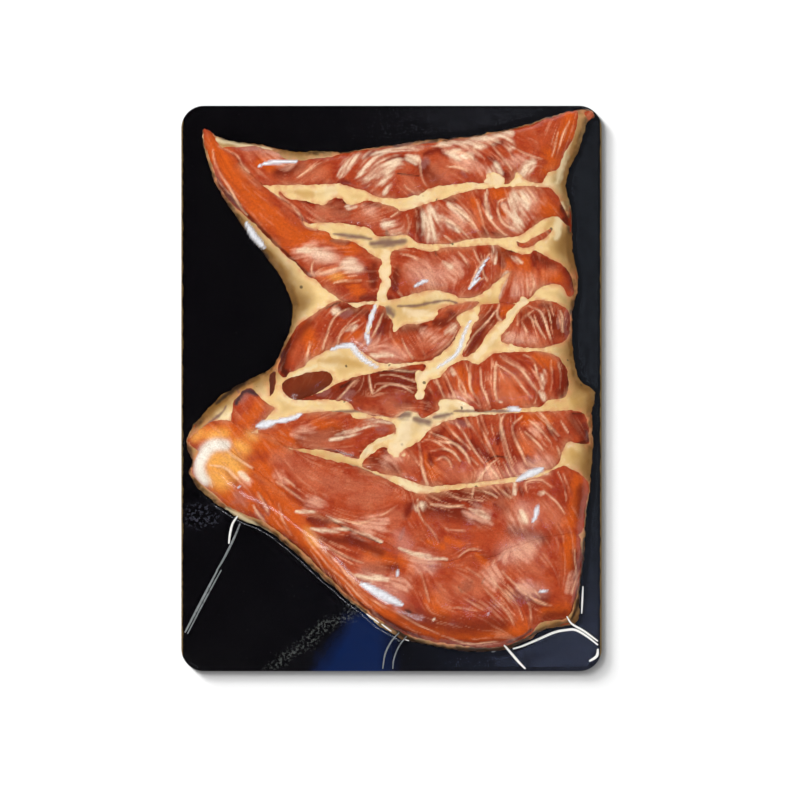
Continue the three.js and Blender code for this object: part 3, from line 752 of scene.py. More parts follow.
# Painted shade, mostly along the edges where the slices turn down.
SHADE = [
    (8, (-36, -2.5), (-26, -1.5), (-16, -1)), (12, (-18, -2), (-8, 2), (4, 3), (9, 0)),
    (5, (-42.5, 6), (-42, 14), (-38, 21), (-33, 26)), (6, (31, 15), (35, 23), (40, 30)),
    (9, (56, 28), (64, 27), (68, 24)), (5, (70, 47), (72.5, 41)), (5, (68.5, 71), (71, 66)),
    (5, (68, 10), (69.5, 3), (67, -2)), (6, (16, -42.5), (32, -42), (46, -42)),
    (4, (-28, -59.5), (-14, -61.5), (-4, -65.5)), (4, (-10, -72), (2, -71)), (6, (-2, 29), (-4, 24)),
    (5, (-12, 31), (-20, 32)), (5, (72, -12), (77, -19)), (5, (75.5, -40), (75, -50)),
    (5, (61, -91), (69, -90)), (6, (20, -101), (34, -102.5), (48, -100.5)),
    (5, (-8, -91), (6, -97), (16, -100)), (5, (-20, -80), (-32, -69), (-44, -59)),
    (5, (73.5, -66), (74, -76)), (5, (-45, 86), (-36, 88)), (6, (12, 88), (17, 84)),
    (4, (17, 25.5), (25, 28.5)), (4, (3, 24), (12, 23.5)), (4, (40, 55), (47, 53)),
    (3.4, (-7, 49), (-7.5, 42)), (4, (2, 47), (1, 40)), (5, (-26, 74), (-18, 70)),
    (3.6, (10.5, 72), (11, 63)), (6, (-36, -20), (-20, -18)), (5, (-8, -28), (2, -32)),
    (4, (58, 52), (64, 49)), (8, (6, -90), (26, -95), (44, -94)), (7, (48, -82), (60, -84)),
    (7, (12, -47), (36, -52)), (6, (48, -56), (60, -60)),
]
# Skin, and painted shadow along the edges, with a few flecks.
DARK = [
    (3, (-70, 84.5), (-67.5, 80), (-64, 76), (-59.5, 71.5)), (2, (-59, 71), (-53, 64.5), (-46, 57.5)),
    (1.5, (-46, 57.5), (-38, 50), (-32, 44.5)), (1.2, (-37, 74.5), (-28, 73.5)),
    (1.2, (-19, 74), (-15, 73)), (1.4, (67.5, 73), (69.5, 69), (70.5, 65)), (2.6, (68.5, 68), (69.5, 66)),
    (1.6, (69.5, 48), (72, 44), (73, 39)), (3.4, (-40.5, 20), (-43, 13), (-43.5, 8), (-41.5, 5.5)),
    (1.1, (-20, 34.5), (-26, 32)), (1.0, (26, 21), (23, 17), (18, 13)), (1.6, (13, 9), (15, 9)),
    (1.0, (-12, 13.5), (-8, 11.5), (-5, 11)), (1.1, (25, -8), (35, -8.8), (42, -9.2)),
    (1.4, (-8, 6.5), (2, 7.2), (9, 6.5)), (1.4, (-16, 3), (-20, 0.5)),
    (1.4, (70.5, 5), (70, -1), (67.5, -3.5)), (0.9, (-29, -23.5), (-18, -26), (-14, -27.5)),
    (0.9, (-13, -28.5), (-11.5, -31)), (1.8, (77.5, -17), (78.5, -21), (74, -22)),
    (0.9, (37.5, -29.5), (41, -27), (46, -27.5)), (1.8, (75.5, -62), (76, -67), (75, -72)),
    (1.1, (-25, -52), (-14, -57.5), (-4, -61.5)), (2, (-50, -54.5), (-42, -60), (-32, -69), (-22, -78)),
    (1.6, (-22, -78), (-12, -86), (0, -94), (12, -99.5)),
    (1.8, (10, -100.5), (24, -103), (38, -104), (46, -102.5)), (2, (46, -101.5), (52, -99), (56, -96)),
    (1.4, (64, -93), (70, -92)), (0.9, (37, -75.5), (36, -77.5)), (0.8, (26.5, -78.5), (28, -81)),
    (1.0, (51, -65.2), (51, -66)), (1.1, (-28, -44), (-28, -44.6)), (0.9, (-12.5, -25), (-12.5, -25.8)),
    (0.8, (-31.5, 53), (-30, 51.5)), (1.5, (-2, 63), (-1.5, 61)), (1.2, (45.5, 54.8), (52, 54.5)),
    (1.0, (57, 55), (59, 54)), (1.0, (11, 84.5), (2.5, 85.5)), (1.6, (74.5, -78), (73, -86), (71, -91)),
    (1.6, (-62.5, -4), (-59, -1)), (1.1, (72, -10), (76.5, -10)), (1.2, (17, 55.5), (18, 53)),
    (1.1, (50, 58.5), (50.2, 57)), (1.2, (62, 62.5), (63, 62)), (1.2, (5.5, -88), (7.5, -89)),
]
print("deep", len(DEEP), "shade", len(SHADE), "dark", len(DARK))

# %% [markdown]
# Mauve and slate are the grey of the skin, on some slices and on the loose bits. Pearl is two smooth
# beads of fat with a fine tail, and the soft highlights are the painted milky shine of the tight film.

# %% Grey and milky tints, and painted highlights
MAUVE = [
    (2, (-60, 95.5), (-52, 96)), (5, (-61, -4.5), (-57, -1.5)), (3.4, (-30, -1), (-25, -1.5)),
    (3.2, (-19, -3.5), (-16, -2)), (1.4, (-14, -11), (-4, -11)), (3, (-20, 29), (-16, 30)),
    (3.2, (-6, -16), (-2, -16.5)), (3.4, (24, -13), (29, -14.5)), (2.6, (-54, -49), (-52, -51.5)),
    (5, (-62, -42), (-59, -46)), (2.8, (46, 20), (52, 18.5)), (1.2, (66.5, 31), (66.5, 24)),
    (2.2, (62, 40.5), (64, 41)), (1.8, (5, -55.5), (3.5, -60)), (2, (30, 84), (28, 86)),
    (3, (7, 77), (11, 77.5)), (2.4, (15, 42), (20, 41)), (3, (15, -69), (16, -71)),
    (2, (-51, -46), (-49, -50)), (3, (12, 88), (14, 91)),
]
SLATE = [
    (5, (-47.5, 8), (-48, 2), (-48.5, -4)), (3, (-62, -6), (-60, -2), (-56.5, -0.8), (-54, -2)),
    (2, (-46, 8), (-43.5, 15)),
]
WHITE_FAT = [
    (6.4, (-66, -22.5), (-70.5, -22.5), (-74, -25), (-76, -29)),
    (6, (-76.5, -28), (-76.5, -33), (-74.5, -37)),
]
PEARL = [
    (5.4, (-30, 53.5), (-25, 52.5)), (5, (-18, 48.5), (-13, 48)),
    (1.4, (-33, 45.5), (-26, 46), (-19, 48)),
]
# Painted soft highlights, where the film over the flesh shines.
SOFT_HIGHLIGHTS = [
    (7, (46, -34.5), (55, -33), (62, -30)), (6, (51, -47), (56, -52)),
    (8, (44, -66), (50, -64), (57, -60)), (5, (51, -79), (60, -80.5)), (5, (3, -58), (6, -64)),
    (6, (10, -69), (16, -70)), (6, (-12, -74), (-4, -80), (4, -84)), (5, (-4, 14), (6, 14)),
    (6, (8, 45), (20, 45)),
]
print(len(MAUVE + SLATE), "grey and", len(WHITE_FAT + PEARL + SOFT_HIGHLIGHTS), "milky tints")

# %% [markdown]
# ## Grain
# Muscle fibres run alongside the fat lines. A stretched noise texture would streak the flesh one
# way only, so the grain is worked out from the lines instead: each lends its direction to the flesh
# around it, and noise is then smeared along that direction. It frays the ends of the veils and puts
# a faint streak in all the flesh.

# %% Grain of the flesh
GRAIN_NEAR = 3.0
GRAIN_FAR = 11.0
GRAIN_LENGTH = 3.2


def grain_direction():
    """The direction of the fibres, doubled as an angle so that both ends of a line agree."""
    near = np.zeros((2,) + X.shape)
    for width, *points in FAT_LINES + CREAM_VEILS:
        line = smooth_line(points, False, STEP)
        way = np.gradient(line, axis=0)
        angle = 2 * np.arctan2(way[:, 1], way[:, 0])
        column = np.clip(np.rint((line[:, 0] + HALF_WIDTH) / STEP).astype(int), 0, X.shape[1] - 1)
        row = np.clip(np.rint((line[:, 1] + HALF_LENGTH) / STEP).astype(int), 0, X.shape[0] - 1)
        np.add.at(near[0], (row, column), np.cos(angle))
        np.add.at(near[1], (row, column), np.sin(angle))
    mixed = [blur(part, GRAIN_NEAR) + 0.4 * blur(part, GRAIN_FAR) for part in near]
    mixed = [part / (np.hypot(*mixed) + 1e-6) for part in mixed]
    return [part + 0.35 * noise(16, 30 + i) for i, part in enumerate(mixed)]


def along_grain(field, doubled, length):
    """Smears a field along the fibres, both ways from every point, and evens out its strength."""
    total = field.copy()
    for sign in (1, -1):
        angle = 0.5 * np.arctan2(doubled[1], doubled[0])
        dx, dy = sign * np.cos(angle), sign * np.sin(angle)
        x, y = X.copy(), Y.copy()
        for _ in range(int(length / STEP)):
            x += dx * STEP
            y += dy * STEP
            total += sample(field, x, y)
            angle = 0.5 * np.arctan2(sample(doubled[1], x, y), sample(doubled[0], x, y))
            turn = np.sign(np.cos(angle) * dx + np.sin(angle) * dy + 1e-9)
            dx, dy = turn * np.cos(angle), turn * np.sin(angle)
    return total / total.std()


def specks(seed):
    """Seeded noise without any lumps, one draw for each net point."""
    return np.random.default_rng(seed).standard_normal(X.shape)


doubled = grain_direction()
grain = along_grain(blur(specks(40), 0.25), doubled, GRAIN_LENGTH)
muscle = along_grain(noise(2.2, 41), doubled, 2.5 * GRAIN_LENGTH)
threads = along_grain(specks(42), doubled, 1.6 * GRAIN_LENGTH)
patches = noise(7, 43)
ragged = 0.55 * grain + 0.65 * noise(1.8, 45)
print("grain", round(float(grain.min()), 1), round(float(grain.max()), 1))

# %% [markdown]
# ## From marks to masks
# The marks are drawn with hard edges, and nothing in raw fish has one. So each is widened, faded
# towards its edge and broken up along the grain, which gives a mask from 0 to 1. A brush in texture
# paint would do the same by hand, but a mask worked out on the net fits every piece at once. The fat
# lines wander a little from the places given, and each has a painted shadow on its lower right side.

# %% Masks
FINEST_LINE = 0.8
LINE_SPREAD = 1.1
WANDER = 0.5
LINE_SHADOW_SIDE = 0.9


def nearness(width, points, taper):
    """1 on a hand-drawn line, 0 at its edge, below 0 outside; it thins towards its ends."""
    line = smooth_line(points, False, 0.7)
    along = np.linspace(0, 1, len(line))
    half = width / 2 * (1 - taper * np.abs(2 * along - 1) ** 2)
    near = np.full(X.shape, -1.0)
    reach = width + 1
    for (ax, ay), (bx, by), radius in zip(line[:-1], line[1:], half):
        c0, c1 = np.searchsorted(xs, [min(ax, bx) - reach, max(ax, bx) + reach])
        r0, r1 = np.searchsorted(ys, [min(ay, by) - reach, max(ay, by) + reach])
        x, y = X[r0:r1, c0:c1] - ax, Y[r0:r1, c0:c1] - ay
        wx, wy = bx - ax, by - ay
        t = np.clip((x * wx + y * wy) / max(wx * wx + wy * wy, 1e-9), 0, 1)
        gap = np.hypot(x - t * wx, y - t * wy)
        near[r0:r1, c0:c1] = np.maximum(near[r0:r1, c0:c1], 1 - gap / radius)
    return near


def strokes(marks, taper=0.5):
    """The nearness to any of the marks; each mark is its full width and then its points."""
    near = np.full(X.shape, -1.0)
    for width, *points in marks:
        near = np.maximum(near, nearness(width, points, taper))
    return near


def feathered(marks, spread=1.6, fray_by=0.35, clear_at=0.1, full_at=0.7, taper=0.5):
    """Marks that fade out over a wide edge and break up along the grain."""
    wide = [(width * spread, *points) for width, *points in marks]
    near = np.clip(strokes(wide, taper), 0, 1)
    broken = near + fray_by * ragged * np.clip(5 * near, 0, 1) * np.clip(1.35 - near, 0, 1)
    return ramp(broken, clear_at, full_at)


drawn = [(max(width, FINEST_LINE) * LINE_SPREAD, *points) for width, *points in FAT_LINES]
fat = ramp(strokes(drawn, 0.45), 0.0, 0.65)
veined = ramp(blur(fat, 2.6), 0.02, 0.16)
streaky = np.clip(0.74 + 0.30 * grain + 0.12 * patches, 0.1, 1)
calm = 0.35 + 0.65 * veined
lines = sample(fat, X + WANDER * noise(9, 60), Y + WANDER * noise(9, 61))
# Painted shadow on the lower right side of each fat line: the lines shifted down and to the right, less
# the lines themselves.
line_shadow = np.clip(sample(lines, X - LINE_SHADOW_SIDE, Y + LINE_SHADOW_SIDE) - lines, 0, 1)
smear = np.exp(-np.maximum(any_fish, 0) / 1.1) * ramp(noise(6, 44) + 0.3 * grain, -0.3, 1.2)
softer_low = 1 - 0.35 * ramp(-Y, 45, 60)
masks = {
    "fat": lines * np.clip(0.72 + 0.2 * grain + 0.22 * patches, 0.15, 1) * softer_low,
    "line_shadow": line_shadow * np.clip(0.8 + 0.3 * grain, 0, 1),
    "furrows": ramp(-threads, 0.4, 2.0) * (0.15 + 0.85 * veined),
    "threads": ramp(threads, 0.5, 1.8) * (0.35 + 0.65 * veined) * ramp(patches, -1.4, 0.6),
    "smear": smear * ramp(in_sauce, 4, 9),
    "cream": feathered(CREAM_VEILS, 2.1, 0.15, 0.0, 1.0) * streaky,
    "haze": feathered(PINK_HAZE, 2.6, 0.15, 0.0, 1.0) * streaky,
    # Painted soft highlights.
    "soft_highlight": 0.8 * blur(feathered(SOFT_HIGHLIGHTS, 2.0, 0.10, 0.0, 1.0, 0.4), 1.2),
    "pearl": blur(feathered(PEARL, 1.5, 0.05, 0.0, 1.0, 0.2), 0.6),
    "white": blur(feathered(WHITE_FAT, 1.3, 0.0, 0.1, 0.7, 0.2), 0.6),
    "gold": blur(feathered(GOLD, 2.2, 0.0, 0.0, 1.0, 0.3), 1.0),
    "orange": feathered(ORANGE, 1.7, 0.15, 0.0, 0.9, 0.1),
    "rose": 0.9 * feathered(ROSE, 1.8, 0.18, 0.0, 1.0),
    "mauve": feathered(MAUVE, 1.6, 0.20, 0.0, 0.9),
    "slate": feathered(SLATE, 1.4, 0.15, 0.0, 0.9, 0.2),
    "shade": feathered(SHADE, 1.8, 0.12, 0.0, 1.0, 0.2),
    "deep": feathered(DEEP, 2.0, 0.15, 0.0, 1.0),
    "dark": feathered(DARK, 1.4, 0.20, 0.1, 0.8),
    # Painted shade: the flesh darkens close to every edge of the fish.
    "edge_shade": np.exp(-np.maximum(any_fish, 0) / 0.9),
    "grain": np.clip(0.5 + 0.20 * grain * calm, 0, 1),
    "muscle": np.clip(0.5 + 0.22 * muscle * calm, 0, 1),
}
print("masks", sorted(masks))

# %% [markdown]
# ## The slices
# Now each piece of fish is cut from the net, the lowest first, and gets all the masks. An image
# could carry them too, but a value on every point needs no unwrapping and goes with the mesh.

# %% Cut the slices
fish = {}
for name in order:
    fish[name] = cut_sheet(name + "_fish", outlines[name], tops[name], bottoms[name])
    for mask, field in masks.items():
        paint(fish[name], mask, field)

# %% [markdown]
# ## The sauce
# The sauce fills the gaps, so its piece is a lace: it is kept where it shows and for a little way
# under the fish, and left out where the fish hides it. Its colour follows how thick it lies, so its
# depth is painted on. So are the ochre pools, the painted shade in the seams, the pale rim that wells
# up beside the outer slices, the umber line where it runs out on the card, and the dabs.

# %% Cut the sauce
OCHRE = [
    (3, (-29, 11), (-20, 11), (-12, 9)), (6, (62, 51), (70, 60)), (5, (64, 55), (71, 45)),
    (3, (-38, 78), (-32, 77)), (6, (72, -4), (77, -8)), (6, (72, -25), (77, -34)),
    (4, (-38, -24.5), (-26, -27), (-14, -31)), (5, (-47, 36), (-42, 46)), (5, (-50, 2), (-44, 10)),
    (5, (-68, -4), (-74, -10)), (4, (34, 34), (48, 34)), (4, (8, 32), (20, 33)), (4, (62, 64), (70, 78)),
    (5, (73, 100), (70, 88), (69, 78)), (5, (71, 60), (73, 50), (73.5, 36)),
    (5, (73.5, 30), (73.5, 14), (77, 2)), (5, (79, -6), (79, -20), (78, -36)),
    (5, (-60, 66), (-50, 53), (-43, 42), (-42, 30), (-46, 18)), (5, (-60, 0), (-75, -9)),
    (4, (77, -56), (77, -70)), (4, (-60, 97), (-36, 94)),
]
# Painted shade along the seams where the sauce meets the edges of the slices.
SEAM_SHADE = [
    (1.2, (2.5, 32.8), (10, 33), (15, 34), (22, 35), (26, 34)), (2, (-2.5, 31.5), (0, 29.5)),
    (3.4, (-8, 57.5), (-3, 58), (5, 58.5)), (1.2, (-24, -9.3), (-8, -9), (4, -11.5)),
    (3.4, (2, -10.5), (7, -10.5)), (3, (9, -12), (15, -13.5)), (2, (17, -11.5), (24, -10)),
    (1.2, (25, -9), (48, -9)), (1.6, (-23, 61.5), (-15, 60.5), (-8, 59.5)), (2.4, (-2, 32), (0.5, 29.5)),
    (1.2, (-36, -25.5), (-28, -28.5), (-22, -30), (-12, -32), (0, -38), (8, -42)),
    (2, (1, 96.5), (8, 98)), (1.6, (11, 97), (17, 98)), (1.2, (-66, -7), (-68, -10), (-75, -15.5)),
    (1.4, (-61.5, -0.8), (-61, -1.5)), (1.0, (4, -22), (4.4, -22.6)),
]
UMBER = [
    (2.6, (-2, -94), (10, -101.3), (25, -104.5), (40, -104.4), (50, -102), (58, -97)),
    (1.6, (77, -60), (76, -72), (75, -84), (72, -92)), (2, (-62, 68), (-52, 55), (-46, 44), (-45, 32)),
    (2, (-46, 22), (-50, 12), (-58, 4), (-70, -6)),
]
PALE = [
    (1.8, (-66, -48), (-52, -56), (-38, -68), (-22, -82), (-6, -94)),
    (1.6, (-76, 101), (-62, 97.5), (-48, 95.5)), (3.4, (71, 103), (68.5, 92), (66, 82)),
    (3, (68, 74), (66, 60)), (2, (-50, 36), (-42, 33)), (2, (-40, 4), (-30, 9)),
    (1.8, (-14, -23), (-4, -27)), (2, (14, 6), (22, 10), (30, 18)),
]
SAUCE_BODY = 0.8
shows = blur((sauce_top > fish_top - DAB_HEIGHT).astype(float), 0.8)
lace = np.minimum(in_sauce, (shows - 0.40) * 3)
sauce_bottom = np.maximum(sauce_top - SAUCE_BODY, CARD_TOP + 0.06)
sauce = cut_sheet("mustard_sauce", lace, sauce_top, sauce_bottom)
near_fish = np.exp(-np.maximum(-any_fish, 0) / 1.2)
sauce_masks = {
    "thick": np.clip((sauce_top - CARD_TOP) / 2.2, 0, 1) * ramp(in_sauce, -0.3, 4.0),
    "pool": ramp(-any_fish + 0.5 * noise(5, 50), 1.0, 4.5),
    "dab": np.clip(dabs, 0, 1),
    "beside": near_fish * (1 - 0.8 * ramp(dabs, -0.2, 0.5)),
    "outer": 1 - ramp(in_sauce + 0.7 * noise(6, 51), 1.5, 9.5),
    "ochre": feathered(OCHRE, 1.8, 0.15, 0.0, 0.9),
    "pale": feathered(PALE, 1.8, 0.20, 0.0, 0.9),
    "umber": feathered(UMBER, 1.8, 0.20, 0.0, 0.9),
    "seam_shade": feathered(SEAM_SHADE, 1.9, 0.15, 0.0, 1.0),
}
for mask, field in sauce_masks.items():
    paint(sauce, mask, field)

# %% [markdown]
# ## The film
# The film is one clear sheet over the whole card. It clings to the fish, bridges the narrow valleys
# a little, and lies flat on the bare card. Lamps alone would put its glints where they please, so
# the long white ones are painted on it, and the lamps add the rest.

# %% Cut the film
FILM_INSET = 0.5
FILM_THICKNESS = 0.09
CORNER = 9.0
GLINTS = [
    (1.4, (-53, 88.5), (-48, 90), (-38, 90.5)), (1.2, (9, 40.5), (12.5, 42.5), (14, 43)),
    (0.8, (39, 53), (35.5, 47.5), (33, 43), (31, 39.5)), (0.6, (31, 39.5), (35, 44)),
    (1.6, (-10, 22), (-9, 18)),
    (1.8, (-24, 15.5), (-20, 16.8), (-16, 17), (-14, 14.5), (-11, 11.5), (-6, 8.5)),
    (1.2, (32, 28), (29, 22), (26, 14), (18, 8)), (2.8, (-53.5, -15), (-51, -14.5), (-47, -13.5)),
    (1.6, (-48, -13.5), (-40, -12), (-35.5, -10)), (2.6, (50, -36.5), (55, -34), (60, -32)),
    (1.4, (58, -46), (57.5, -50), (56.5, -52.5)), (3.2, (-12, -77.5), (-5, -81.5), (0, -84), (4, -86)),
    (1.6, (-60.5, -39), (-60, -39.5)), (1.2, (-45, -39), (-44.5, -39.5)), (1.0, (2.7, -72), (2.7, -74.5)),
    (0.9, (59, -80.7), (61.5, -80.9)), (1.0, (38.5, -89.5), (39, -89.5)),
    (1.0, (44.5, -94.5), (45, -94.5)), (2.4, (-58, 66), (-55, 61), (-51, 56.5)),
    (1.4, (-6, 34), (-8, 28), (-9.5, 23)), (1.6, (46, -8), (51, -8.5)),
]
corner_x = np.maximum(np.abs(X) - (HALF_WIDTH - CORNER), 0)
corner_y = np.maximum(np.abs(Y) - (HALF_LENGTH - CORNER), 0)
rounded = CORNER - np.hypot(corner_x, corner_y)
flat_side = np.minimum(HALF_WIDTH - np.abs(X), HALF_LENGTH - np.abs(Y))
card_depth = np.where((corner_x > 0) & (corner_y > 0), rounded, flat_side) - FILM_INSET
film = cut_sheet("skin_film", card_depth, cling, cling - FILM_THICKNESS, stride=2)
paint(film, "glint", feathered(GLINTS, 1.5, 0.06, 0.05, 0.8, 0.7))

# %% [markdown]
# ## Creases in the film
# Where the film ran out of slack on the bare card it folded on itself. Each fold is a fine round
# cord of film along the card, made as a curve and turned into a mesh. Folding the sheet itself would
# take a far finer net for the same line of light.

# %% Folds
BRIGHT_FOLDS = [
    (0.55, (48.5, -104), (52, -103), (58, -100.5), (65, -97.5), (70, -96.5), (73.5, -96.5), (78, -99),
     (82.5, -102.5)), (0.6, (82.5, -104), (82, -107), (79, -109)),
    (0.55, (45, -102.5), (48, -106), (51, -109.5), (53.5, -112)), (0.35, (-10, -90), (-5, -93.5)),
    (0.35, (-4, -94), (0, -97)), (0.3, (5.5, -100.3), (7, -100.8)), (0.4, (76.5, -79), (76, -90)),
    (0.45, (70, -91), (72, -94), (77, -97), (82.5, -101)),
    (0.5, (-61.5, -51), (-63.5, -54), (-64.5, -58), (-65, -62)),
]
FAINT_FOLDS = [
    (0.5, (-60.5, -54), (-63, -60), (-67, -68), (-70, -73)),
    (0.55, (-69.5, -72.5), (-76, -85), (-82.5, -97.5)), (0.35, (-68, -72.5), (-74.8, -85), (-81.5, -98)),
    (0.3, (40, -105.3), (41.5, -105)), (0.35, (3, -97.5), (0, -101), (-2.5, -106), (-3.5, -112)),
    (0.3, (6, -99), (3, -103), (1, -108), (0.5, -112)),
]


def make_folds(name, folds):
    """Round cords along the film, joined into one piece."""
    made = []
    for radius, *points in folds:
        line = smooth_line(points, False, 1.0)
        height = np.maximum(sample(cling, line[:, 0], line[:, 1]), CARD_TOP + 0.2)
        bpy.ops.object.select_all(action="DESELECT")
        bpy.ops.curve.primitive_nurbs_path_add()
        cord = bpy.context.object
        data = cord.data
        data.splines.clear()
        spline = data.splines.new("POLY")
        spline.points.add(len(line) - 1)
        taper = np.sqrt(np.sin(np.linspace(0.12, 0.88, len(line)) * math.pi))
        for point, (x, y), z, thin in zip(spline.points, line, height, taper):
            point.co = (x * MM, y * MM, z * MM, 1)
            point.radius = thin
        data.bevel_depth = radius * MM
        data.bevel_resolution = 2
        data.use_fill_caps = True
        bpy.ops.object.convert(target="MESH")
        made.append(bpy.context.object)
    bpy.ops.object.select_all(action="DESELECT")
    for cord in made:
        cord.select_set(True)
    bpy.context.view_layer.objects.active = made[0]
    bpy.ops.object.join()
    piece = bpy.context.object
    piece.name = name
    piece.data.name = name
    bpy.ops.object.shade_smooth()
    print(name, len(piece.data.polygons), "faces")
    return piece


bright_folds = make_folds("bright_folds", BRIGHT_FOLDS)
faint_folds = make_folds("faint_folds", FAINT_FOLDS)

# %% [markdown]
# ## Materials
# Small helpers keep the node trees short. Colours are given as the eye sees them and turned into
# the linear values that the nodes use.

# %% Node helpers
def linear(r, g, b):
    """A colour from 0 to 255 as the linear one that the nodes use."""
    def one(c):
        c /= 255
        return c / 12.92 if c <= 0.04045 else ((c + 0.055) / 1.055) ** 2.4
    return (one(r), one(g), one(b), 1)


class Nodes:
    """A thin hand for building a node tree."""

    def __init__(self, tree):
        self.tree = tree

    def add(self, kind, inputs=None, **settings):
        node = self.tree.nodes.new("ShaderNode" + kind)
        for key, value in settings.items():
            setattr(node, key, value)
        for key, value in (inputs or {}).items():
            self.put(node.inputs[key], value)
        return node

    def put(self, socket, value):
        if isinstance(value, bpy.types.NodeSocket):
            self.tree.links.new(value, socket)
        else:
            socket.default_value = value

    def math(self, operation, a, b=0.0):
        return self.add("Math", {0: a, 1: b}, operation=operation).outputs[0]

    def mix(self, factor, a, b, blend="MIX"):
        node = self.add("Mix", data_type="RGBA", blend_type=blend, clamp_factor=True)
        for key, value in ((0, factor), (6, a), (7, b)):
            self.put(node.inputs[key], value)
        return node.outputs[2]

    def tint(self, color, mask, strength, shade):
        """Lays a shade over a colour, as much as a mask and a strength say."""
        return self.mix(self.math("MULTIPLY", mask, strength), color, linear(*shade))

    def rough_skin(self, shader, height, strength, distance):
        """Gives a shader a bumpy surface."""
        bump = self.add("Bump", {"Height": height, "Strength": strength, "Distance": distance})
        self.put(shader.inputs["Normal"], bump.outputs["Normal"])

    def noise(self, vector, scale, detail=3.0, rough=0.55, distortion=0.0):
        return self.add("TexNoise", {"Vector": vector, "Scale": scale, "Detail": detail,
                                     "Roughness": rough, "Distortion": distortion}).outputs["Fac"]

    def ramp(self, value, stops):
        node = self.add("ValToRGB", {"Fac": value})
        elements = node.color_ramp.elements
        while len(elements) < len(stops):
            elements.new(0.5)
        for element, (place, color) in zip(elements, stops):
            element.position = place
            element.color = color
        return node.outputs["Color"]

    def band(self, value, low, high):
        """0 to 1 as the value goes from low to high."""
        return self.add("MapRange", {0: value, 1: low, 2: high}, clamp=True).outputs[0]

    def attribute(self, name):
        return self.add("Attribute", attribute_name=name).outputs["Fac"]

    def place(self):
        return self.add("TexCoord").outputs["Object"]


def new_material(name):
    """A fresh material, a hand for its nodes, and its main shader."""
    material = bpy.data.materials.new(name)
    material.use_nodes = True
    nodes = Nodes(material.node_tree)
    shader = material.node_tree.nodes["Principled BSDF"]
    return material, nodes, shader


def dress(piece, material, slot, *replaced):
    """Gives a piece its material and its place in the frame."""
    piece.data.materials.clear()
    piece.data.materials.append(material)
    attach(piece, "root")
    if replaced:
        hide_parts(*replaced)
    print(piece.name, "is", material.name)

# %% [markdown]
# ### Cured trout
# The base is a mottled orange-pink, streaked along the grain. Every painted mask then mixes in its
# own tint, the darker ones first and the fat last, with a warm brine over the dark ones. Two
# materials share this colouring, so it is a node group with the darkness as its input.

# %% Flesh colouring group
LEAN, BLUSH = (188, 74, 40), (218, 116, 80)
FLESH_TINTS = [
    ("orange", 0.85, (240, 132, 26)), ("deep", 0.95, (142, 46, 20)),
    # The shade tint below is painted shade where the slices turn down.
    ("shade", 0.85, (140, 56, 26)), ("furrows", 0.6, (152, 48, 22)),
    # The first tint below is a painted shadow beside the fat lines, and the dark one is skin with painted
    # shadow.
    ("line_shadow", 0.6, (146, 40, 16)), ("dark", 0.85, (82, 34, 20)),
]
BRINE = (0.76, 0.43, 0.20, 1)
FAT_TINTS = [
    # The second tint below is a painted soft highlight.
    ("rose", 0.5, (212, 122, 86)), ("soft_highlight", 0.4, (240, 186, 168)),
    ("mauve", 0.45, (164, 112, 104)), ("gold", 0.85, (250, 180, 84)),
    # The haze tint below is partly the flesh's own tone and partly a painted milky reflection.
    ("haze", 0.75, (234, 172, 142)), ("threads", 0.85, (240, 172, 132)),
    ("smear", 0.6, (232, 176, 130)), ("cream", 0.95, (244, 214, 180)),
    ("pearl", 0.85, (240, 200, 170)), ("slate", 1.0, (62, 50, 54)),
    ("fat", 0.9, (248, 200, 158)), ("white", 1.0, (246, 236, 220)),
]
PLAIN = (1, 1, 1, 1)
FLECKS = [(0.3, (0.84, 0.80, 0.78, 1)), (0.5, PLAIN), (0.7, (1.12, 1.16, 1.2, 1))]
STREAKS = [(0.2, (0.80, 0.74, 0.72, 1)), (0.5, PLAIN), (0.8, (1.16, 1.24, 1.30, 1))]


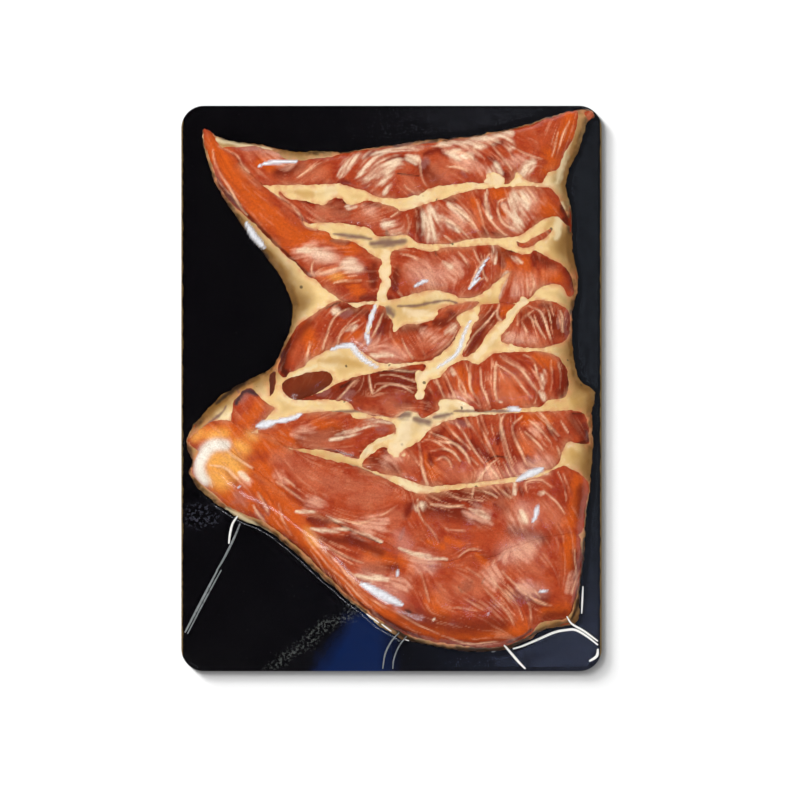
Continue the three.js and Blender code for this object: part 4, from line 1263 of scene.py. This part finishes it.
def flesh_group():
    tree = bpy.data.node_groups.new("flesh colouring", "ShaderNodeTree")
    tree.interface.new_socket("Darkness", in_out="INPUT", socket_type="NodeSocketFloat")
    tree.interface.new_socket("Color", in_out="OUTPUT", socket_type="NodeSocketColor")
    tree.interface.new_socket("Height", in_out="OUTPUT", socket_type="NodeSocketFloat")
    n = Nodes(tree)
    given = tree.nodes.new("NodeGroupInput")
    result = tree.nodes.new("NodeGroupOutput")
    place = n.place()
    mottle = n.noise(place, 110, 4, 0.6)
    color = n.mix(n.band(mottle, 0.35, 0.66), linear(*LEAN), linear(*BLUSH))
    pinkness = n.band(n.noise(place, 190, 3, 0.6, 0.8), 0.50, 0.64)
    color = n.tint(color, pinkness, 0.55, (216, 138, 122))
    redness = n.band(n.noise(place, 150, 3, 0.6, 0.8), 0.50, 0.36)
    color = n.tint(color, redness, 0.45, (176, 52, 20))
    muscle_tone = n.attribute("muscle")
    color = n.tint(color, n.band(muscle_tone, 0.35, 0.95), 0.5, (224, 136, 104))
    color = n.tint(color, n.band(muscle_tone, 0.5, 0.1), 0.5, (166, 60, 32))
    for name, strength, shade in FLESH_TINTS:
        color = n.tint(color, n.attribute(name), strength, shade)
    color = n.mix(1.0, color, BRINE, "MULTIPLY")
    for name, strength, shade in FAT_TINTS:
        color = n.tint(color, n.attribute(name), strength, shade)
    color = n.mix(1.0, color, n.ramp(n.noise(place, 1500, 2, 0.7), FLECKS), "MULTIPLY")
    fine = n.noise(place, 900, 3, 0.7)
    streak = n.math("ADD", n.math("MULTIPLY", n.attribute("grain"), 0.7), n.math("MULTIPLY", fine, 0.3))
    color = n.mix(1.0, color, n.ramp(streak, STREAKS), "MULTIPLY")
    # Painted shade, darker close to the edges of the fish.
    color = n.tint(color, n.attribute("edge_shade"), 0.34, (140, 46, 20))
    color = n.mix(given.outputs["Darkness"], color, linear(104, 42, 14))
    n.put(result.inputs["Color"], color)
    n.put(result.inputs["Height"], streak)
    return tree


flesh = flesh_group()
print("flesh colouring", len(flesh.nodes), "nodes")

# %% [markdown]
# The two loose scraps come from the dark muscle under the skin, so they take the same group with more
# darkness. The film keeps the flesh from shining on its own, so it has little gloss and a thin coat.

# %% Trout materials
def trout_material(name, darkness):
    material, n, shader = new_material(name)
    shared = n.add("Group", node_tree=flesh)
    shared.inputs["Darkness"].default_value = darkness
    height = shared.outputs["Height"]
    n.put(shader.inputs["Base Color"], shared.outputs["Color"])
    n.put(shader.inputs["Roughness"], n.math("ADD", n.math("MULTIPLY", height, 0.25), 0.25))
    shader.inputs["Specular IOR Level"].default_value = 0.15
    shader.inputs["Coat Weight"].default_value = 0.1
    shader.inputs["Coat Roughness"].default_value = 0.15
    n.rough_skin(shader, height, 0.3, 0.0003)
    return material


trout = trout_material("cured trout", 0.0)
dark_trout = trout_material("dark trout", 0.75)
for name, piece in fish.items():
    if name == "corner_bit":
        dress(piece, trout, "fish")
    elif name in ("loose_scrap", "sauce_scrap"):
        dress(piece, dark_trout, "dark_fish", name)
    else:
        dress(piece, trout, "fish", name)

# %% [markdown]
# ### Mustard sauce
# Thick sauce is pale cream. Where it thins out over the black card it turns to ochre and then to a
# dark stain, so its colour follows the painted depth. Dark herb specks are scattered in it: cells of
# a Voronoi texture give round dots, and a noise keeps only a few of them.

# %% Sauce material
BY_DEPTH = [(0.0, linear(40, 32, 22)), (0.16, linear(120, 92, 50)),
            (0.32, linear(206, 160, 90)), (0.55, linear(250, 216, 150))]
OVER_CARD = (0.36, 0.26, 0.12, 1)


def sauce_material():
    material, n, shader = new_material("mustard sauce")
    place = n.place()
    cloud = n.noise(place, 70, 4, 0.6)
    fine = n.noise(place, 420, 3, 0.6)
    broad = n.noise(place, 22, 3, 0.6, 0.5)
    uneven = n.math("MULTIPLY", n.math("SUBTRACT", cloud, 0.5), 0.3)
    color = n.ramp(n.math("ADD", n.attribute("thick"), uneven), BY_DEPTH)
    color = n.tint(color, n.band(broad, 0.50, 0.68), 0.55, (224, 176, 100))
    color = n.tint(color, n.band(cloud, 0.50, 0.62), 0.7, (255, 238, 192))
    color = n.tint(color, n.band(fine, 0.56, 0.72), 0.4, (255, 238, 206))
    color = n.tint(color, n.attribute("pool"), 0.5, (206, 158, 84))
    color = n.tint(color, n.attribute("ochre"), 0.6, (206, 156, 74))
    color = n.mix(n.math("MULTIPLY", n.attribute("outer"), 0.9), color, OVER_CARD, "MULTIPLY")
    color = n.tint(color, n.attribute("dab"), 0.6, (255, 230, 190))
    stain = n.math("ADD", n.math("MULTIPLY", n.band(n.noise(place, 280, 2), 0.44, 0.60), 0.75), 0.2)
    color = n.tint(color, n.attribute("beside"), stain, (222, 142, 92))
    # Painted shade in the seams.
    color = n.tint(color, n.attribute("seam_shade"), 0.88, (124, 84, 76))
    color = n.tint(color, n.attribute("pale"), 0.7, (246, 226, 180))
    color = n.tint(color, n.attribute("umber"), 1.0, (58, 36, 18))
    herbs = n.add("TexVoronoi", {"Vector": place, "Scale": 190.0}, feature="F1").outputs["Distance"]
    few = n.math("GREATER_THAN", n.noise(place, 160, 1), 0.60)
    dot = n.math("MULTIPLY", n.math("LESS_THAN", herbs, 0.13), few)
    color = n.tint(color, dot, 0.8, (84, 66, 36))
    n.put(shader.inputs["Base Color"], color)
    shader.inputs["Roughness"].default_value = 0.35
    shader.inputs["Coat Weight"].default_value = 0.1
    shader.inputs["Coat Roughness"].default_value = 0.1
    n.rough_skin(shader, n.noise(place, 300, 3), 0.25, 0.0005)
    return material


dress(sauce, sauce_material(), "sauce", "sauce")

# %% [markdown]
# ### Clear film
# Film hardly shows except where it shines. Glass would bend and darken all that lies under it, so it
# is a see-through shader with a glossy one mixed in by the viewing angle. Fine wrinkles break the
# shine. A whitish veil lies on the painted glints, where it is a painted highlight, and on the folds,
# where it is partly the whitening of creased film and partly a painted highlight.

# %% Film material
FOLD_VEIL = 1.2
FAINT_VEIL = 0.6


def film_material(name, veil_color, veil_amount=None):
    """Clear film; the veil is as painted on the piece, unless an amount is given for all of it."""
    material, n, shader = new_material(name)
    tree = material.node_tree
    tree.nodes.remove(shader)
    place = n.place()
    wrinkle = n.noise(place, 160, 3, 0.6, 0.6)
    bump = n.add("Bump", {"Height": wrinkle, "Strength": 0.18, "Distance": 0.0006}).outputs["Normal"]
    clear = n.add("BsdfTransparent", {"Color": (1, 1, 1, 1)})
    veil = n.add("BsdfDiffuse", {"Color": veil_color})
    patchy = n.band(n.noise(place, 500, 3, 0.65), 0.30, 0.62)
    amount = n.attribute("glint") if veil_amount is None else veil_amount
    factor = n.math("MULTIPLY", n.math("ADD", n.math("MULTIPLY", patchy, 0.3), 0.7), amount)
    veiled = n.add("MixShader", {0: factor, 1: clear.outputs[0], 2: veil.outputs[0]})
    gloss = n.add("BsdfAnisotropic", {"Color": (0.95, 0.97, 1, 1), "Roughness": 0.1, "Normal": bump})
    edge = n.add("Fresnel", {"IOR": 1.34, "Normal": bump})
    outside = n.math("SUBTRACT", 1.0, n.add("NewGeometry").outputs["Backfacing"])
    shine = n.math("MULTIPLY", edge.outputs[0], outside)
    mixed = n.add("MixShader", {0: shine, 1: veiled.outputs[0], 2: gloss.outputs[0]})
    tree.links.new(mixed.outputs[0], tree.nodes["Material Output"].inputs["Surface"])
    return material


dress(film, film_material("clear film", linear(244, 244, 248)), "film", "film")
# The white of the folds is partly creased film and partly a painted highlight.
dress(bright_folds, film_material("folded film", linear(252, 250, 246), FOLD_VEIL), "film")
dress(faint_folds, film_material("faint film", linear(170, 174, 176), FAINT_VEIL), "film")

# %% [markdown]
# ### Black card
# The card is a CAD node whose shape is already right, so it only gets a finish: glossy black with a
# faint mottle and specks of dust, a painted dark blue reflection at its lower edge with a grey streaky
# line beside it, a scuffed spot at the left, and a brown line of bare board along its cut sides.

# %% Card material
CUT_WIDTH = 1.2
# The slant and the blue of the painted reflection at the lower edge.
REFLECTION_TILT = 0.67
REFLECTION_BLUE = (7, 31, 78)
GREY_LINE_OFFSET, GREY_LINE_MIDDLE = -78.5, -31.0
SCUFF_MIDDLE = (-75.5, -51.0)


def card_material():
    material, n, shader = new_material("black card")
    place = n.place()
    split = n.add("SeparateXYZ", {0: place})
    x, y = split.outputs["X"], split.outputs["Y"]

    def fade(value, clear, full):
        """0 at one place and 1 at the other, both in millimetres."""
        return n.band(value, clear * MM, full * MM)

    def spot(value, middle, outer, inner):
        """1 close to a place and 0 far from it, in millimetres."""
        away = n.math("ABSOLUTE", n.math("SUBTRACT", value, middle * MM))
        return fade(away, outer, inner)

    from_side = n.math("SUBTRACT", HALF_WIDTH * MM, n.math("ABSOLUTE", x))
    bare = n.math("LESS_THAN", from_side, n.math("MULTIPLY", n.noise(place, 240, 3), CUT_WIDTH * MM))
    mottle = n.noise(place, 60, 5, 0.6)
    black = n.mix(mottle, linear(6, 5, 8), linear(16, 13, 17))
    black = n.tint(black, n.band(n.noise(place, 1500, 2, 0.8), 0.74, 0.80), 0.5, (120, 118, 120))
    wavy = n.math("MULTIPLY", n.math("SUBTRACT", n.noise(place, 90, 4), 0.5), 12 * MM)
    across = n.math("ADD", n.math("SUBTRACT", x, n.math("MULTIPLY", y, REFLECTION_TILT)), wavy)
    up = n.math("ADD", n.math("SUBTRACT", y, n.math("MULTIPLY", x, REFLECTION_TILT)), wavy)
    # Painted reflection: a dark blue patch near the lower edge of the card.
    field = n.math("MULTIPLY", fade(across, 41, 50), fade(x, 4, -6))
    black = n.tint(black, field, fade(y, -83, -93), REFLECTION_BLUE)
    # A grey streaky line beside the blue reflection.
    grey_line = n.math("MULTIPLY", spot(up, GREY_LINE_OFFSET, 4.5, 0), spot(x, GREY_LINE_MIDDLE, 22, 14))
    grey_line = n.math("MULTIPLY", grey_line, n.band(n.noise(place, 800, 3, 0.7), 0.50, 0.62))
    black = n.tint(black, grey_line, 0.6, (104, 108, 104))
    scuff = n.math("MULTIPLY", spot(x, SCUFF_MIDDLE[0], 9, 2), spot(y, SCUFF_MIDDLE[1], 7, 1))
    scuff = n.math("MULTIPLY", scuff, n.band(n.noise(place, 700, 3, 0.7), 0.50, 0.62))
    black = n.tint(black, scuff, 0.55, (84, 86, 100))
    n.put(shader.inputs["Base Color"], n.tint(black, bare, 0.75, (122, 98, 52)))
    n.put(shader.inputs["Roughness"], n.math("ADD", n.math("MULTIPLY", mottle, 0.15), 0.12))
    n.rough_skin(shader, n.noise(place, 900, 3), 0.1, 0.0002)
    return material


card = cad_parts["card"]
card.data.materials.clear()
card.data.materials.append(card_material())
print("card", len(card.data.polygons), "faces")

# %% [markdown]
# ## Floor, light and camera
# The pack lies on a plain white table under a soft dome of light. The table is a grey that the dome
# and the lamps bring up to white, so that the shadow of the pack still shows on it.

# %% Floor
TABLE_SIZE = 6
TABLE_SHADES = (0.262, 0.262, 0.262, 1), (0.27, 0.27, 0.27, 1)
bpy.ops.object.select_all(action="DESELECT")
bpy.ops.mesh.primitive_plane_add(size=TABLE_SIZE, location=(0, 0, 0))
floor = bpy.context.object
floor.name = "table"
material, n, shader = new_material("white table")
n.put(shader.inputs["Base Color"], n.mix(n.noise(n.place(), 30, 2), *TABLE_SHADES))
shader.inputs["Roughness"].default_value = 0.9
floor.data.materials.append(material)
print("table", TABLE_SIZE, "m wide")

# %% [markdown]
# The key lamp at the upper left models the slices. Two far lamps low in the same direction draw the
# shadow: they light the table only and are shaded by the card only, so that they can be strong. A
# small lamp gives the spark on the wet film. The bare card is black, so besides the blue reflection
# painted on it, it shows only what it mirrors: each sheen is a dim panel overhead, placed for the
# part of the card that mirrors it.

# %% Lights
FAR = (-7.0, 7.0)
SHEEN_HEIGHT = 1.2


def panel(name, place, size, power, color=(1, 1, 1), glossy=True, diffuse=True, flat=False):
    """An area light that looks at the middle of the pack, or straight down when flat."""
    data = bpy.data.lights.new(name, "AREA")
    data.shape = "RECTANGLE"
    data.size, data.size_y = size
    data.energy = power
    data.color = color
    lamp = bpy.data.objects.new(name, data)
    bpy.context.scene.collection.objects.link(lamp)
    lamp.location = place
    if not flat:
        lamp.rotation_mode = "QUATERNION"
        lamp.rotation_quaternion = lamp.location.to_track_quat("Z", "Y")
    lamp.visible_glossy = glossy
    lamp.visible_diffuse = diffuse
    lamp.visible_camera = False
    return lamp


def sheen(name, left, bottom, right, top, shine, color):
    """A dim panel overhead; the camera sees its mirror image in the card."""
    width, length = (right - left) * MM, (top - bottom) * MM
    place = ((left + right) / 2 * MM, (bottom + top) / 2 * MM, SHEEN_HEIGHT)
    power = shine * math.pi * width * length
    return panel(name, place, (width, length), power, color, diffuse=False, flat=True)


def only(name, thing):
    """A collection of one object, for a lamp to light or to be shaded by."""
    collection = bpy.data.collections.new(name)
    collection.objects.link(thing)
    return collection


floor_only, card_only = only("floor only", floor), only("card only", card)
panel("key", (-0.9, 0.8, 0.9), (0.5, 0.5), 6, glossy=False)
for name, height, tall, power in (("low", 1.4, 1.4, 11000), ("middle", 3.3, 3.2, 5200)):
    lamp = panel(name, (*FAR, height), (3.0, tall), power, glossy=False)
    lamp.light_linking.receiver_collection = floor_only
    lamp.light_linking.blocker_collection = card_only
panel("shine", (-0.35, -0.60, 1.05), (0.30, 0.20), 1.5, (0.93, 0.96, 1.0), diffuse=False)
sheen("right margin", 128, -150, 210, 210, 0.6, (0.68, 0.82, 1.0))
sheen("top right", 20, 180, 125, 215, 0.9, (0.8, 0.85, 1.0))
sheen("bottom right", 80, -250, 170, -158, 2.3, (0.50, 0.60, 1.0))
world = bpy.data.worlds.new("dome")
bpy.context.scene.world = world
world.use_nodes = True
dome = world.node_tree.nodes["Background"]
dome.inputs["Color"].default_value = (1, 1, 1, 1)
dome.inputs["Strength"].default_value = 0.95
world.cycles_visibility.glossy = False
print(len(bpy.data.lights), "lamps")

# %% [markdown]
# The camera looks straight down. A long lens from high up keeps the sides of the thin pack out of
# sight, and its length follows from the width of table that it has to take in.

# %% Camera
CAMERA_HEIGHT = 1.5
VIEW_WIDTH = 0.32
SENSOR = 36
VIEW_MIDDLE = (3.4, -4.6)
camera_data = bpy.data.cameras.new("camera")
camera_data.sensor_width = SENSOR
camera_data.lens = SENSOR * CAMERA_HEIGHT / VIEW_WIDTH
camera_data.clip_end = 20
camera = bpy.data.objects.new("camera", camera_data)
bpy.context.scene.collection.objects.link(camera)
camera.location = (VIEW_MIDDLE[0] * MM, VIEW_MIDDLE[1] * MM, CAMERA_HEIGHT)
bpy.context.scene.camera = camera
bpy.context.scene.view_settings.view_transform = "Standard"
print("lens", round(camera_data.lens, 1), "mm")
